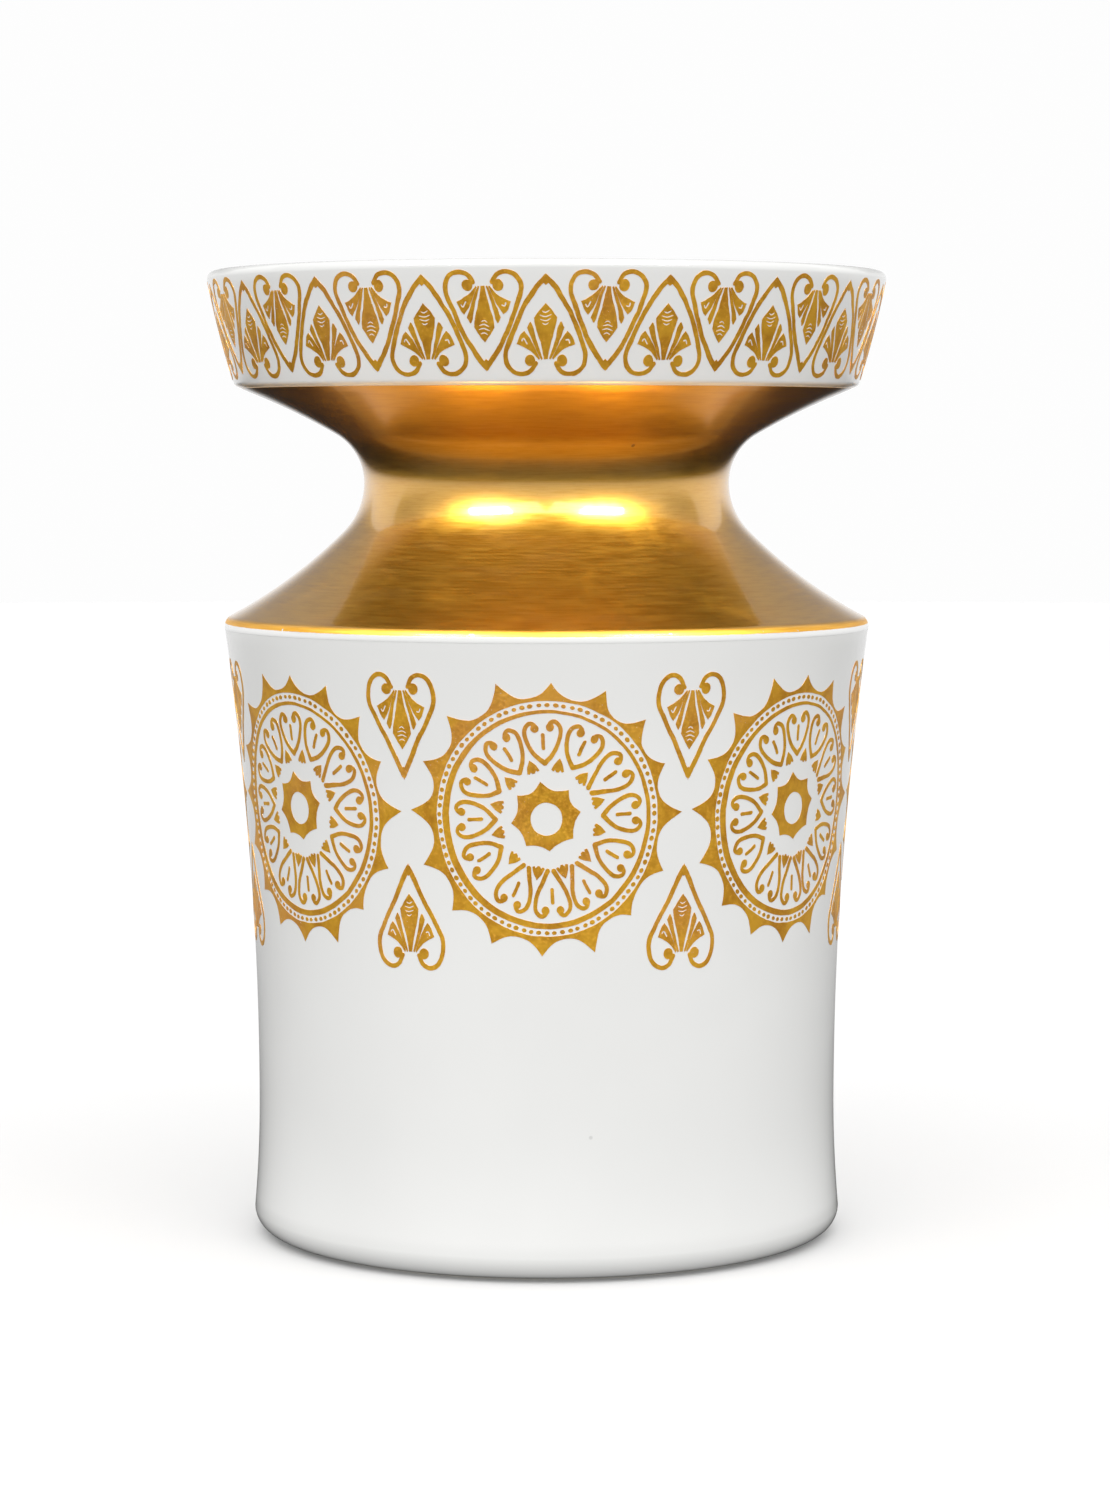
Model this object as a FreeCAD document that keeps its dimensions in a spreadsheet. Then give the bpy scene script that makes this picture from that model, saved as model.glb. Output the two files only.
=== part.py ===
import FreeCAD, Part
import math
import os
import Sketcher

# A gilded porcelain vase, in millimetres: a broad waisted body, a narrow throat and a wide
# upright collar.  +Z is up and the vase stands on z = 0.  The front looks along -Y.
# The porcelain is six turned sections luted face to face.  The gilding lies on them as thin skins.

DIMENSIONS = [
    # name, value, what it is
    ("waist_radius", 75.4, "outside of the body at its narrowest"),
    ("waist_height", 36.0, "height of that waist above the table"),
    ("foot_spread", 1.3, "how much wider the body is just above its rounded bottom edge"),
    ("foot_rounding", 6.0, "radius of that bottom edge"),
    ("foot_gap", 0.6, "the glazed edge stays this far above the table"),
    ("ring_setback", 1.2, "step from the end of the rounding to the foot ring"),
    ("ring_width", 4.6, "width of the bare ring that the vase stands on"),
    ("ring_easing", 0.8, "rounding of the ring's two lower edges"),
    ("base_lift", 4.5, "height of the recessed underside"),
    ("floor_thickness", 4.6, "thickness of the body's floor"),
    ("floor_cove", 3.0, "height of the cove between floor and wall"),
    ("cove_radius", 3.3, "radius of that cove"),
    ("body_thickness", 4.6, "wall of the body"),
    ("shoulder_spread", 8.3, "how much wider than the waist the body is where its shoulder starts"),
    ("shoulder_height", 158.0, "height of that line, which is also the lower edge of the gilding"),
    ("shoulder_rounding", 3.2, "radius of the shoulder's edge"),
    ("shoulder_pitch", 28.0, "slope of the cone above the shoulder, in degrees"),
    ("shoulder_seam", 3.2, "distance up the cone to the joint between body and neck"),
    ("neck_thickness", 4.2, "wall of the neck"),
    ("throat_radius", 47.4, "outside of the neck at its narrowest"),
    ("throat_rise", 37.7, "from the shoulder's line up to the throat"),
    ("lower_bend", 18.0, "bend of the neck below the throat"),
    ("lower_turn", 0.849, "its turn, as a share of the one that leaves the line below it straight"),
    ("upper_bend", 14.5, "bend of the neck above the throat"),
    ("upper_turn", 0.9359, "its turn, as a share of the one that leaves the line above it straight"),
    ("flare_reach", 33.5, "how much wider than the throat the collar's lower edge is"),
    ("flare_rise", 25.1, "from the throat up to the collar's lower edge"),
    ("flare_pitch", 23.5, "slope of the flare where it meets the collar, in degrees"),
    ("collar_seam", 5.2, "distance in from the collar's edge to the joint between neck and collar"),
    ("collar_rise", 29.2, "height of the collar"),
    ("collar_spread", 7.3, "how much wider the rim is than the collar's lower edge"),
    ("collar_bow", 264.0, "radius of the slight outward bow of the collar"),
    ("collar_easing", 1.4, "rounding of the collar's lower edge"),
    ("collar_cove", 2.0, "rounding inside, where collar and flare meet"),
    ("collar_thickness", 4.4, "wall of the collar"),
    ("lip_rounding", 1.9, "rounding of the rim's two edges"),
    ("gilding_thickness", 0.2, "thickness of every gilt skin"),
    ("gilding_margin", 1.9, "bare strip between the neck's gilding and the collar's edge"),
    ("line_width", 1.1, "width of the drawn gold line"),
    ("medallion_count", 7, "medallions, and pairs of hearts between them, round the body"),
    ("medallion_drop", 43.0, "from the shoulder's line down to the medallions' centres"),
    ("medallion_gap", 3.2, "clear space between neighbouring medallions"),
    ("sunburst_tips", 16, "tips round the sunburst"),
    ("scallop_depth", 3.7, "depth of the scallops between the tips"),
    ("sunburst_width", 4.8, "from the tips to the sunburst's inner edge"),
    ("ring_line_inset", 7.4, "from the tips to the middle of the thin ring"),
    ("ring_line_width", 0.9, "width of that ring"),
    ("wreath_count", 12, "hearts round the wreath"),
    ("wreath_inset", 9.8, "from the tips to the wreath's outer edge"),
    ("wreath_radius", 13.7, "tips of the wreath's hearts"),
    ("wreath_gap", 2.2, "clear space between neighbouring wreath hearts where they are widest"),
    ("wreath_line", 0.95, "width of the wreath's lines"),
    ("bud_radius", 11.8, "inner edge of the small buds between the wreath's hearts"),
    ("bud_length", 3.0, "length of a bud"),
    ("bud_width", 2.5, "width of a bud"),
    ("star_tips", 8, "tips of the star in the middle"),
    ("star_radius", 9.1, "tips of the star"),
    ("star_valley", 7.0, "valleys of the star"),
    ("star_bore", 3.9, "bare disc in the middle of the star"),
    ("heart_drop", 44.2, "from the shoulder's line down to midway between the body hearts"),
    ("heart_gap", 10.5, "from that middle to the tip of each body heart"),
    ("heart_length", 26.2, "length of a body heart"),
    ("heart_width", 18.8, "width of a body heart"),
    ("frieze_count", 18, "upright hearts round the collar, with as many inverted between them"),
    ("frieze_foot", 1.7, "from the collar's lower edge up to the frieze"),
    ("frieze_top", 3.7, "from the upright hearts' tips up to the rim"),
    ("frieze_gap", 0.7, "clear space between neighbouring frieze hearts halfway up"),
    ("frieze_shift", 0.9, "how much higher the inverted hearts sit"),
]

document = FreeCAD.newDocument("gilded_vase")
sheet = document.addObject("Spreadsheet::Sheet", "Sizes")
for row, (name, value, meaning) in enumerate(DIMENSIONS, start=1):
    sheet.set(f"A{row}", name)
    sheet.set(f"B{row}", str(value))
    sheet.setAlias(f"B{row}", name)
    sheet.set(f"C{row}", meaning)
document.recompute()


# ---------------------------------------------------------------- sketches and turned sections

def size(name):
    """Return one driving dimension as a number."""
    return float(sheet.get(name))


def linked(text):
    """Turn a formula in plain dimension names into one that reads the sheet's cells."""
    for name in sorted((entry[0] for entry in DIMENSIONS), key=len, reverse=True):
        text = text.replace(f"<{name}>", f"Sizes.{name}")
    return text


def number(text):
    """Work a linked formula out."""
    result = sheet.evalExpression(linked(text))
    return float(getattr(result, "Value", result))


def corner(across, up, smooth=False):
    """A corner of a turned outline; a smooth one joins its two edges without a kink."""
    return {"across": across, "up": up, "smooth": smooth}


def origin_plane(body, role):
    """Return one of a body's own origin planes."""
    return next(plane for plane in body.Origin.OriginFeatures if plane.Role == role)


def new_body(label):
    """Start a sub-part."""
    body = document.addObject("PartDesign::Body", label)
    body.Label = label
    return body


def new_sketch(body, name, role):
    """Start a sketch on one of the body's origin planes."""
    sketch = body.newObject("Sketcher::SketchObject", name)
    sketch.AttachmentSupport = [(origin_plane(body, role), "")]
    sketch.MapMode = "FlatFace"
    return sketch


def bind(sketch, constraint, formula):
    """Add a dimension whose value follows a formula of the sheet's cells."""
    index = sketch.addConstraint(constraint)
    sketch.setExpression(f"Constraints[{index}]", linked(formula))


def arc_geometry(start, end, radius, side):
    """Return the arc from start to end with its centre on the left (1) or right (-1) of the way."""
    chord = end - start
    left = FreeCAD.Vector(-chord.y, chord.x, 0).normalize()
    reach = math.sqrt(max(radius ** 2 - (chord.Length / 2) ** 2, 0))
    centre = (start + end) / 2 + left * reach * side
    first, last = (start, end) if side > 0 else (end, start)
    angles = [math.atan2(point.y - centre.y, point.x - centre.x) for point in (first, last)]
    return Part.ArcOfCircle(Part.Circle(centre, FreeCAD.Vector(0, 0, 1), radius), *angles)


def draw_outline(sketch, corners, edges):
    """Draw a closed outline.  An edge is "line" or (side, radius formula), (side, None) where its
    smooth ends set the radius, or (side, "level", formula) where its centre lies at that height."""
    points = [FreeCAD.Vector(number(c["across"]), number(c["up"]), 0) for c in corners]
    ends = []
    for place, edge in enumerate(edges):
        start, end = points[place], points[(place + 1) % len(points)]
        if edge == "line":
            ends.append((sketch.addGeometry(Part.LineSegment(start, end)), 1, 2))
            continue
        side = edge[0]
        given = edge[1] if len(edge) == 2 else None
        radius = number(given) if given else 4 * (end - start).Length
        index = sketch.addGeometry(arc_geometry(start, end, radius, side))
        ends.append((index, 1, 2) if side > 0 else (index, 2, 1))
    for place, (index, first, last) in enumerate(ends):
        following = (place + 1) % len(corners)
        kind = "Tangent" if corners[following]["smooth"] else "Coincident"
        sketch.addConstraint(Sketcher.Constraint(kind, index, last, ends[following][0], ends[following][1]))
        for direction, formula in (("DistanceX", corners[place]["across"]),
                                   ("DistanceY", corners[place]["up"])):
            constraint = Sketcher.Constraint(direction, -1, 1, index, first, number(formula))
            bind(sketch, constraint, formula)
        edge = edges[place]
        if edge == "line" or edge[1] is None:
            continue
        if len(edge) == 3:
            constraint = Sketcher.Constraint("DistanceY", -1, 1, index, 3, number(edge[2]))
            bind(sketch, constraint, edge[2])
        else:
            bind(sketch, Sketcher.Constraint("Radius", index, number(edge[1])), edge[1])


def turned(label, corners, edges):
    """Make a sub-part by turning an outline about the vase's axis."""
    body = new_body(label)
    sketch = new_sketch(body, f"{label}_outline", "XZ_Plane")
    draw_outline(sketch, corners, edges)
    turning = body.newObject("PartDesign::Revolution", f"{label}_turning")
    turning.Profile = sketch
    turning.ReferenceAxis = (sketch, ["V_Axis"])
    turning.Angle = 360
    document.recompute()
    return body


def round_edges(body, name, radius, circles):
    """Round the circular edges that lie at the given (radius, height) formulas."""
    base = body.Tip
    wanted = [(number(across), number(up)) for across, up in circles]
    names = []
    for index, edge in enumerate(base.Shape.Edges, start=1):
        if not isinstance(edge.Curve, Part.Circle):
            continue
        for across, up in wanted:
            if abs(edge.Curve.Radius - across) < 0.01 and abs(edge.Curve.Center.z - up) < 0.01:
                names.append(f"Edge{index}")
    if len(names) != len(wanted):
        raise RuntimeError(f"{name} found {len(names)} of {len(wanted)} edges")
    rounding = body.newObject("PartDesign::Fillet", name)
    rounding.Base = (base, names)
    rounding.setExpression("Radius", linked(f"<{radius}>"))
    document.recompute()


# ---------------------------------------------------------------- lines of the vase

SHOULDER_RADIUS = "(<waist_radius> + <shoulder_spread>)"
LEAN = "2 * atan(<shoulder_spread> / (<shoulder_height> - <waist_height>))"
FOOT_RADIUS = "(<waist_radius> + <foot_spread>)"
RING_OUTSIDE = f"{FOOT_RADIUS} - <foot_rounding> - <ring_setback>"
FLOOR_TOP = "<base_lift> + <floor_thickness>"
THROAT_HEIGHT = "(<shoulder_height> + <throat_rise>)"
COLLAR_RADIUS = "(<throat_radius> + <flare_reach>)"
COLLAR_HEIGHT = f"({THROAT_HEIGHT} + <flare_rise>)"
RIM_RADIUS = f"({COLLAR_RADIUS} + <collar_spread>)"
RIM_HEIGHT = f"({COLLAR_HEIGHT} + <collar_rise>)"


def above_shoulder(distance, depth):
    """A corner on the cone, at a distance up from its start and at a depth below its surface."""
    across = (f"{SHOULDER_RADIUS} - <shoulder_rounding> * cos({LEAN})"
              f" + (<shoulder_rounding> - ({depth})) * sin(<shoulder_pitch>)"
              f" - ({distance}) * cos(<shoulder_pitch>)")
    up = (f"<shoulder_height> + <shoulder_rounding> * sin({LEAN})"
          f" + (<shoulder_rounding> - ({depth})) * cos(<shoulder_pitch>)"
          f" + ({distance}) * sin(<shoulder_pitch>)")
    return corner(across, up)


def under_collar(distance, depth):
    """A corner on the flare, at a distance in from the collar's edge and at a depth above it."""
    return corner(f"{COLLAR_RADIUS} - ({distance}) * cos(<flare_pitch>) - ({depth}) * sin(<flare_pitch>)",
                  f"{COLLAR_HEIGHT} - ({distance}) * sin(<flare_pitch>) + ({depth}) * cos(<flare_pitch>)")


def turn_towards(seam, bend, turn):
    """How far a bend of the throat turns: a share of the turn whose tangent runs to the seam."""
    run = f"({seam['across']} - <throat_radius> - {bend})"
    rise = f"({seam['up']} - {THROAT_HEIGHT})"
    full = f"180 deg - atan2(abs({rise}); {run}) - acos({bend} / sqrt({rise} ^ 2 + {run} ^ 2))"
    return f"({turn} * ({full}))"


LOWER_SWEEP = turn_towards(above_shoulder("<shoulder_seam>", "0"), "<lower_bend>", "<lower_turn>")
UPPER_SWEEP = turn_towards(under_collar("<collar_seam>", "0"), "<upper_bend>", "<upper_turn>")


def below_throat(depth, smooth=True):
    """The corner where the neck's lower bend starts, at a depth below the surface."""
    return corner(f"<throat_radius> + <lower_bend> - (<lower_bend> + {depth}) * cos({LOWER_SWEEP})",
                  f"{THROAT_HEIGHT} - (<lower_bend> + {depth}) * sin({LOWER_SWEEP})", smooth)


def above_throat(depth, smooth=True):
    """The corner where the neck's upper bend ends, at a depth below the surface."""
    return corner(f"<throat_radius> + <upper_bend> - (<upper_bend> + {depth}) * cos({UPPER_SWEEP})",
                  f"{THROAT_HEIGHT} + (<upper_bend> + {depth}) * sin({UPPER_SWEEP})", smooth)


def at_throat(depth):
    """The throat's narrowest corner, at a depth below the surface."""
    return corner(f"<throat_radius> - {depth}", THROAT_HEIGHT)


def make_foot_ring():
    """The bare ring that the vase stands on."""
    body = new_body("foot_ring")
    sketch = new_sketch(body, "foot_ring_outline", "XY_Plane")
    for formula in (RING_OUTSIDE, f"{RING_OUTSIDE} - <ring_width>"):
        circle = Part.Circle(FreeCAD.Vector(), FreeCAD.Vector(0, 0, 1), number(formula))
        index = sketch.addGeometry(circle)
        sketch.addConstraint(Sketcher.Constraint("Coincident", index, 3, -1, 1))
        bind(sketch, Sketcher.Constraint("Radius", index, number(formula)), formula)
    pad = body.newObject("PartDesign::Pad", "foot_ring_pad")
    pad.Profile = sketch
    pad.setExpression("Length", linked("<base_lift>"))
    document.recompute()
    circles = [(RING_OUTSIDE, "0"), (f"{RING_OUTSIDE} - <ring_width>", "0")]
    round_edges(body, "foot_ring_easing", "ring_easing", circles)
    return body


def make_base_floor():
    """The floor of the vase, a disc that rests on the ring inside the body wall."""
    body = new_body("base_floor")
    sketch = new_sketch(body, "base_floor_outline", "XY_Plane")
    circle = Part.Circle(FreeCAD.Vector(), FreeCAD.Vector(0, 0, 1), number(RING_OUTSIDE))
    index = sketch.addGeometry(circle)
    sketch.addConstraint(Sketcher.Constraint("Coincident", index, 3, -1, 1))
    bind(sketch, Sketcher.Constraint("Radius", index, number(RING_OUTSIDE)), RING_OUTSIDE)
    pad = body.newObject("PartDesign::Pad", "base_floor_pad")
    pad.Profile = sketch
    pad.setExpression("Length", linked("<floor_thickness>"))
    body.setExpression("Placement.Base.z", linked("<base_lift>"))
    return body


def make_body_wall():
    """The waisted wall, from the rounded bottom edge to the joint on the shoulder's cone."""
    thickness = "<body_thickness>"
    corners = [
        corner(RING_OUTSIDE, "<foot_gap>"),
        corner(f"{FOOT_RADIUS} - <foot_rounding>", "<foot_gap>"),
        corner(FOOT_RADIUS, "<foot_gap> + <foot_rounding>", smooth=True),
        corner("<waist_radius>", "<waist_height>"),
        corner(SHOULDER_RADIUS, "<shoulder_height>"),
        above_shoulder("0", "0"),
        above_shoulder("<shoulder_seam>", "0"),
        above_shoulder("<shoulder_seam>", thickness),
        corner(f"{SHOULDER_RADIUS} - {thickness}",
               f"<shoulder_height> - ({thickness} - <shoulder_rounding>) * cos(<shoulder_pitch>)"),
        corner(f"<waist_radius> - {thickness}", "<waist_height>"),
        corner(f"{FOOT_RADIUS} - {thickness}", f"{FLOOR_TOP} + <floor_cove>"),
        corner(RING_OUTSIDE, FLOOR_TOP),
    ]
    edges = [
        "line",
        (1, None),
        (-1, "level", "<waist_height>"),
        (-1, "level", "<waist_height>"),
        (1, "<shoulder_rounding>"),
        "line",
        "line",
        "line",
        (1, "level", "<waist_height>"),
        (1, "level", "<waist_height>"),
        (-1, "<cove_radius>"),
        "line",
    ]
    return turned("body_wall", corners, edges)


def make_shoulder_cone():
    """The gilded cone's porcelain, from the body wall's joint up to the throat."""
    thickness = "<neck_thickness>"
    corners = [
        above_shoulder("<shoulder_seam>", "0"),
        below_throat("0"),
        at_throat("0"),
        at_throat(thickness),
        below_throat(thickness),
        above_shoulder("<shoulder_seam>", "<body_thickness>"),
    ]
    edges = [
        (-1, None),
        (-1, "<lower_bend>"),
        "line",
        (1, f"<lower_bend> + {thickness}"),
        (1, None),
        "line",
    ]
    return turned("shoulder_cone", corners, edges)


def make_throat_flare():
    """The gilded flare's porcelain, from the throat up to the collar's joint."""
    thickness = "<neck_thickness>"
    corners = [
        at_throat("0"),
        above_throat("0"),
        under_collar("<collar_seam>", "0"),
        under_collar("<collar_seam>", thickness),
        above_throat(thickness),
        at_throat(thickness),
    ]
    edges = [
        (-1, "<upper_bend>"),
        (-1, None),
        "line",
        (1, None),
        (1, f"<upper_bend> + {thickness}"),
        "line",
    ]
    return turned("throat_flare", corners, edges)


def make_rim_collar():
    """The upright collar, with the outer strip of the flare under it."""
    inner_foot = (f"{COLLAR_RADIUS} - <collar_thickness>",
                  f"{COLLAR_HEIGHT} + <neck_thickness> / cos(<flare_pitch>)"
                  " - <collar_thickness> * tan(<flare_pitch>)")
    corners = [
        under_collar("<collar_seam>", "0"),
        corner(COLLAR_RADIUS, COLLAR_HEIGHT),
        corner(RIM_RADIUS, RIM_HEIGHT),
        corner(f"{RIM_RADIUS} - <collar_thickness>", RIM_HEIGHT),
        corner(*inner_foot),
        under_collar("<collar_seam>", "<neck_thickness>"),
    ]
    edges = ["line", (1, "<collar_bow>"), "line", (-1, "<collar_bow>"), "line", "line"]
    body = turned("rim_collar", corners, edges)
    lip = [(RIM_RADIUS, RIM_HEIGHT), (f"{RIM_RADIUS} - <collar_thickness>", RIM_HEIGHT)]
    round_edges(body, "lip_rounding", "lip_rounding", lip)
    round_edges(body, "collar_easing", "collar_easing", [(COLLAR_RADIUS, COLLAR_HEIGHT)])
    round_edges(body, "collar_cove", "collar_cove", [inner_foot])
    return body


def make_neck_gilding():
    """The gold over the neck, from the shoulder's edge to just short of the collar's edge."""
    proud = "-<gilding_thickness>"
    lower_edge = corner(f"{SHOULDER_RADIUS} + <gilding_thickness> * cos({LEAN})",
                        f"<shoulder_height> - <gilding_thickness> * sin({LEAN})")
    corners = [
        lower_edge,
        above_shoulder("0", proud),
        above_shoulder("<shoulder_seam>", proud),
        below_throat(proud),
        at_throat(proud),
        above_throat(proud),
        under_collar("<collar_seam>", proud),
        under_collar("<gilding_margin>", proud),
        under_collar("<gilding_margin>", "0"),
        under_collar("<collar_seam>", "0"),
        above_throat("0"),
        at_throat("0"),
        below_throat("0"),
        above_shoulder("<shoulder_seam>", "0"),
        above_shoulder("0", "0"),
        corner(SHOULDER_RADIUS, "<shoulder_height>"),
    ]
    edges = [
        (1, "<shoulder_rounding> + <gilding_thickness>"),
        "line",
        (-1, None),
        (-1, "<lower_bend> - <gilding_thickness>"),
        (-1, "<upper_bend> - <gilding_thickness>"),
        (-1, None),
        "line",
        "line",
        "line",
        (1, None),
        (1, "<upper_bend>"),
        (1, "<lower_bend>"),
        (1, None),
        "line",
        (-1, "<shoulder_rounding>"),
        "line",
    ]
    return turned("neck_gilding", corners, edges)


# ---------------------------------------------------------------- gilt ornament

UP = FreeCAD.Vector(0, 0, 1)
FRONT = FreeCAD.Vector(0, -1, 0)
# How wide a heart's line is halfway along, and how far along it is widest, as shares of the heart.
HEART_MIDDLE, HEART_WIDEST = 0.72, 0.80


def body_line():
    """Return the body's upper line: its centre, its radius and -1, because it is hollow."""
    spread = size("shoulder_spread")
    rise = size("shoulder_height") - size("waist_height")
    radius = (spread ** 2 + rise ** 2) / (2 * spread)
    return FreeCAD.Vector(size("waist_radius") + radius, 0, size("waist_height")), radius, -1


def collar_line():
    """Return the collar's line: its centre, its radius and 1, because it is full."""
    radius = size("collar_bow")
    rise, spread = size("collar_rise"), size("collar_spread")
    chord = math.hypot(rise, spread)
    reach = math.sqrt(radius ** 2 - chord ** 2 / 4) / chord
    middle = FreeCAD.Vector(number(COLLAR_RADIUS) + spread / 2, 0, number(COLLAR_HEIGHT) + rise / 2)
    return middle + FreeCAD.Vector(-rise, 0, spread) * reach, radius, 1


def reach_at(line, height):
    """Return how far the surface of a turned line lies from the axis at a height."""
    centre, radius, side = line
    return centre.x + side * math.sqrt(radius ** 2 - (height - centre.z) ** 2)


def skin(line, bottom, top, sector):
    """Return a thin skin that lies on a turned line, up to an angle each side of the front."""
    centre, radius, side = line
    curves = []
    for way in (radius, radius + side * size("gilding_thickness")):
        points = []
        for height in (bottom, (bottom + top) / 2, top):
            slope = math.asin((height - centre.z) / radius)
            points.append(centre + FreeCAD.Vector(side * math.cos(slope), 0, math.sin(slope)) * way)
        curves.append(Part.Arc(*points).toShape())
    near, far = curves
    ends = [Part.makeLine(near.Vertexes[k].Point, far.Vertexes[k].Point) for k in (0, 1)]
    face = Part.Face(Part.Wire(Part.__sortEdges__(curves + ends)))
    face.rotate(FreeCAD.Vector(), UP, -90 - sector)
    return face.revolve(FreeCAD.Vector(), UP, 2 * sector)


def stencil(centre, turn, reach):
    """Return a function that lays a flat point of a motif on the front view of the vase.

    centre is the motif's own origin as (round, up), turn is clockwise in degrees and reach is the
    surface's distance from the axis, so that lengths stay true as they are measured round it."""
    angle = math.radians(turn)

    def lay(across, along):
        around = centre[0] + across * math.cos(angle) + along * math.sin(angle)
        up = centre[1] - across * math.sin(angle) + along * math.cos(angle)
        return FreeCAD.Vector(reach * math.sin(around / reach), 0, up)

    return lay


def path_edges(lay, path):
    """Return a path's edges: after its start, each step is an end, or a middle and an end for an arc."""
    here = lay(*path[0])
    edges = []
    for step in path[1:]:
        points = [lay(*point) for point in step]
        curve = Part.LineSegment(here, *points) if len(points) == 1 else Part.Arc(here, *points)
        edges.append(curve.toShape())
        here = points[-1]
    return edges


def mirrored(path):
    """Return a path's mirror image."""
    flipped = [[(-across, along) for across, along in step] for step in path[1:]]
    return [(-path[0][0], path[0][1])] + flipped


def filled(lay, path):
    """Return the flat shape inside a closed path."""
    return Part.Face(Part.Wire(path_edges(lay, path)))


def stroke(lay, path, width):
    """Return the flat shape of a line of some width drawn along a path."""
    wire = Part.Wire(path_edges(lay, path))
    return Part.Face(wire.makeOffset2D(width / 2, 0, False, False))


def disc(lay, place, radius):
    """Return a flat disc."""
    turns = (0, math.pi / 2, math.pi)
    points = [lay(place[0] + radius * math.cos(a), place[1] + radius * math.sin(a)) for a in turns]
    return Part.Face(Part.Wire(Part.Circle(*points).toShape()))


def ring_path(radius):
    """Return a circle as four arcs, which keep its shape round the wall."""
    points = [(radius * math.sin(k * math.pi / 4), radius * math.cos(k * math.pi / 4)) for k in range(9)]
    return [points[0]] + [[points[k - 1], points[k]] for k in (2, 4, 6, 8)]


def scalloped_path(count, tip, valley):
    """Return the outline of a sunburst or star whose sides are hollow between its tips."""
    outline = [(0, tip)]
    for k in range(1, count + 1):
        angle = 2 * math.pi * k / count
        middle = angle - math.pi / count
        outline.append([(valley * math.sin(middle), valley * math.cos(middle)),
                        (tip * math.sin(angle), tip * math.cos(angle))])
    return outline


def gild(flats, surface):
    """Return one gilt solid: flat shapes joined and wrapped on a skin of the wall."""
    prisms = []
    foremost = surface.BoundBox.YMin
    for flat in flats:
        flat.translate(FRONT * (size("line_width") - foremost))
        prisms.append(flat.extrude(FRONT * foremost))
    block = prisms[0].fuse(prisms[1:]).removeSplitter() if len(prisms) > 1 else prisms[0]
    solids = block.common(surface).Solids
    if len(solids) != 1:
        raise RuntimeError(f"a gilt piece came out as {len(solids)} solids")
    return solids[0]


def heart_outline(lay, width, length, line, surface):
    """Return the gilt line of a heart, with a ball in each of its two curls.

    It is nearly straight from the tip, widest four fifths of the way along, and curls in on itself."""
    half, run = (width - line) / 2, length - line / 2

    def at(across, along):
        return (across * half, along * run)

    path = [at(0, 0.04), [at(0.54, 0.40)], [at(0.86, 0.61), at(1.0, HEART_WIDEST)],
            [at(0.88, 0.95), at(0.58, 1.0)], [at(0.34, 0.96), at(0.25, 0.89)]]
    ball, (across, along) = 1.15 * line, at(0.36, 0.87)
    flats = [stroke(lay, path, line), stroke(lay, mirrored(path), line),
             disc(lay, (across, along), ball), disc(lay, (-across, along), ball)]
    return gild(flats, surface)


def heart_leaves(lay, width, length, surface):
    """Return the five gilt leaves inside a heart: a lozenge, two fingers and two broad leaves."""
    def at(across, along):
        return (across * width / 2, along * length)

    lozenge = [at(0, 0.25), [at(0.25, 0.38)], [at(0.10, 0.60), at(0.035, 0.83)], [at(-0.035, 0.83)],
               [at(-0.10, 0.60), at(-0.25, 0.38)], [at(0, 0.25)]]
    finger = [at(0.07, 0.83), [at(0.20, 0.62), at(0.29, 0.45)], [at(0.38, 0.48)],
              [at(0.25, 0.68), at(0.10, 0.84)], [at(0.07, 0.83)]]
    broad = [at(0.13, 0.84), [at(0.28, 0.70), at(0.47, 0.56)], [at(0.66, 0.65)],
             [at(0.38, 0.76), at(0.155, 0.86)], [at(0.13, 0.84)]]
    paths = [lozenge, finger, mirrored(finger), broad, mirrored(broad)]
    return [gild([filled(lay, path)], surface) for path in paths]


def palmette_heart(lay, width, length, surface):
    """Return the solids of one heart with its leaves."""
    outline = heart_outline(lay, width, length, size("line_width"), surface)
    return [outline] + heart_leaves(lay, width, length, surface)


def wreath_heart(lay, width, length, surface):
    """Return one heart of a wreath and the short stroke inside it."""
    line = size("wreath_line")
    half, near, far = line / 2, 0.38 * length, 0.62 * length
    dash = [(-half, near), [(-half, far)], [(0, far + half), (half, far)], [(half, near)],
            [(0, near - half), (-half, near)]]
    return [heart_outline(lay, width, length, line, surface), gild([filled(lay, dash)], surface)]


def bud(lay, surface):
    """Return one of the small buds between a wreath's hearts."""
    half, length = size("bud_width") / 2, size("bud_length")
    return gild([filled(lay, [(-half, 0), [(0, length)], [(half, 0)], [(-half, 0)]])], surface)


def medallion(surface, height, reach):
    """Return the solids of one medallion: sunburst, thin ring, star, and a wreath of hearts and buds."""
    tips = math.pi * reach / size("medallion_count") - size("medallion_gap") / 2
    lay = stencil((0, height), 0, reach)

    def band(outline, bore):
        return gild([filled(lay, outline).cut(filled(lay, ring_path(bore)))], surface)

    ring, half_line = tips - size("ring_line_inset"), size("ring_line_width") / 2
    burst = scalloped_path(int(size("sunburst_tips")), tips, tips - size("scallop_depth"))
    star = scalloped_path(int(size("star_tips")), size("star_radius"), size("star_valley"))
    solids = [band(burst, tips - size("sunburst_width")),
              band(ring_path(ring + half_line), ring - half_line),
              band(star, size("star_bore"))]

    count, start = int(size("wreath_count")), size("wreath_radius")
    length = tips - size("wreath_inset") - start
    width = 2 * math.pi * (start + HEART_WIDEST * length) / count - size("wreath_gap")

    def lay_at(radius, turn):
        angle = math.radians(turn)
        place = (radius * math.sin(angle), height + radius * math.cos(angle))
        return stencil(place, turn, reach)

    for k in range(count):
        turn = 360 * k / count
        solids += wreath_heart(lay_at(start, turn), width, length, surface)
        solids.append(bud(lay_at(size("bud_radius"), turn + 180 / count), surface))
    return solids


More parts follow.
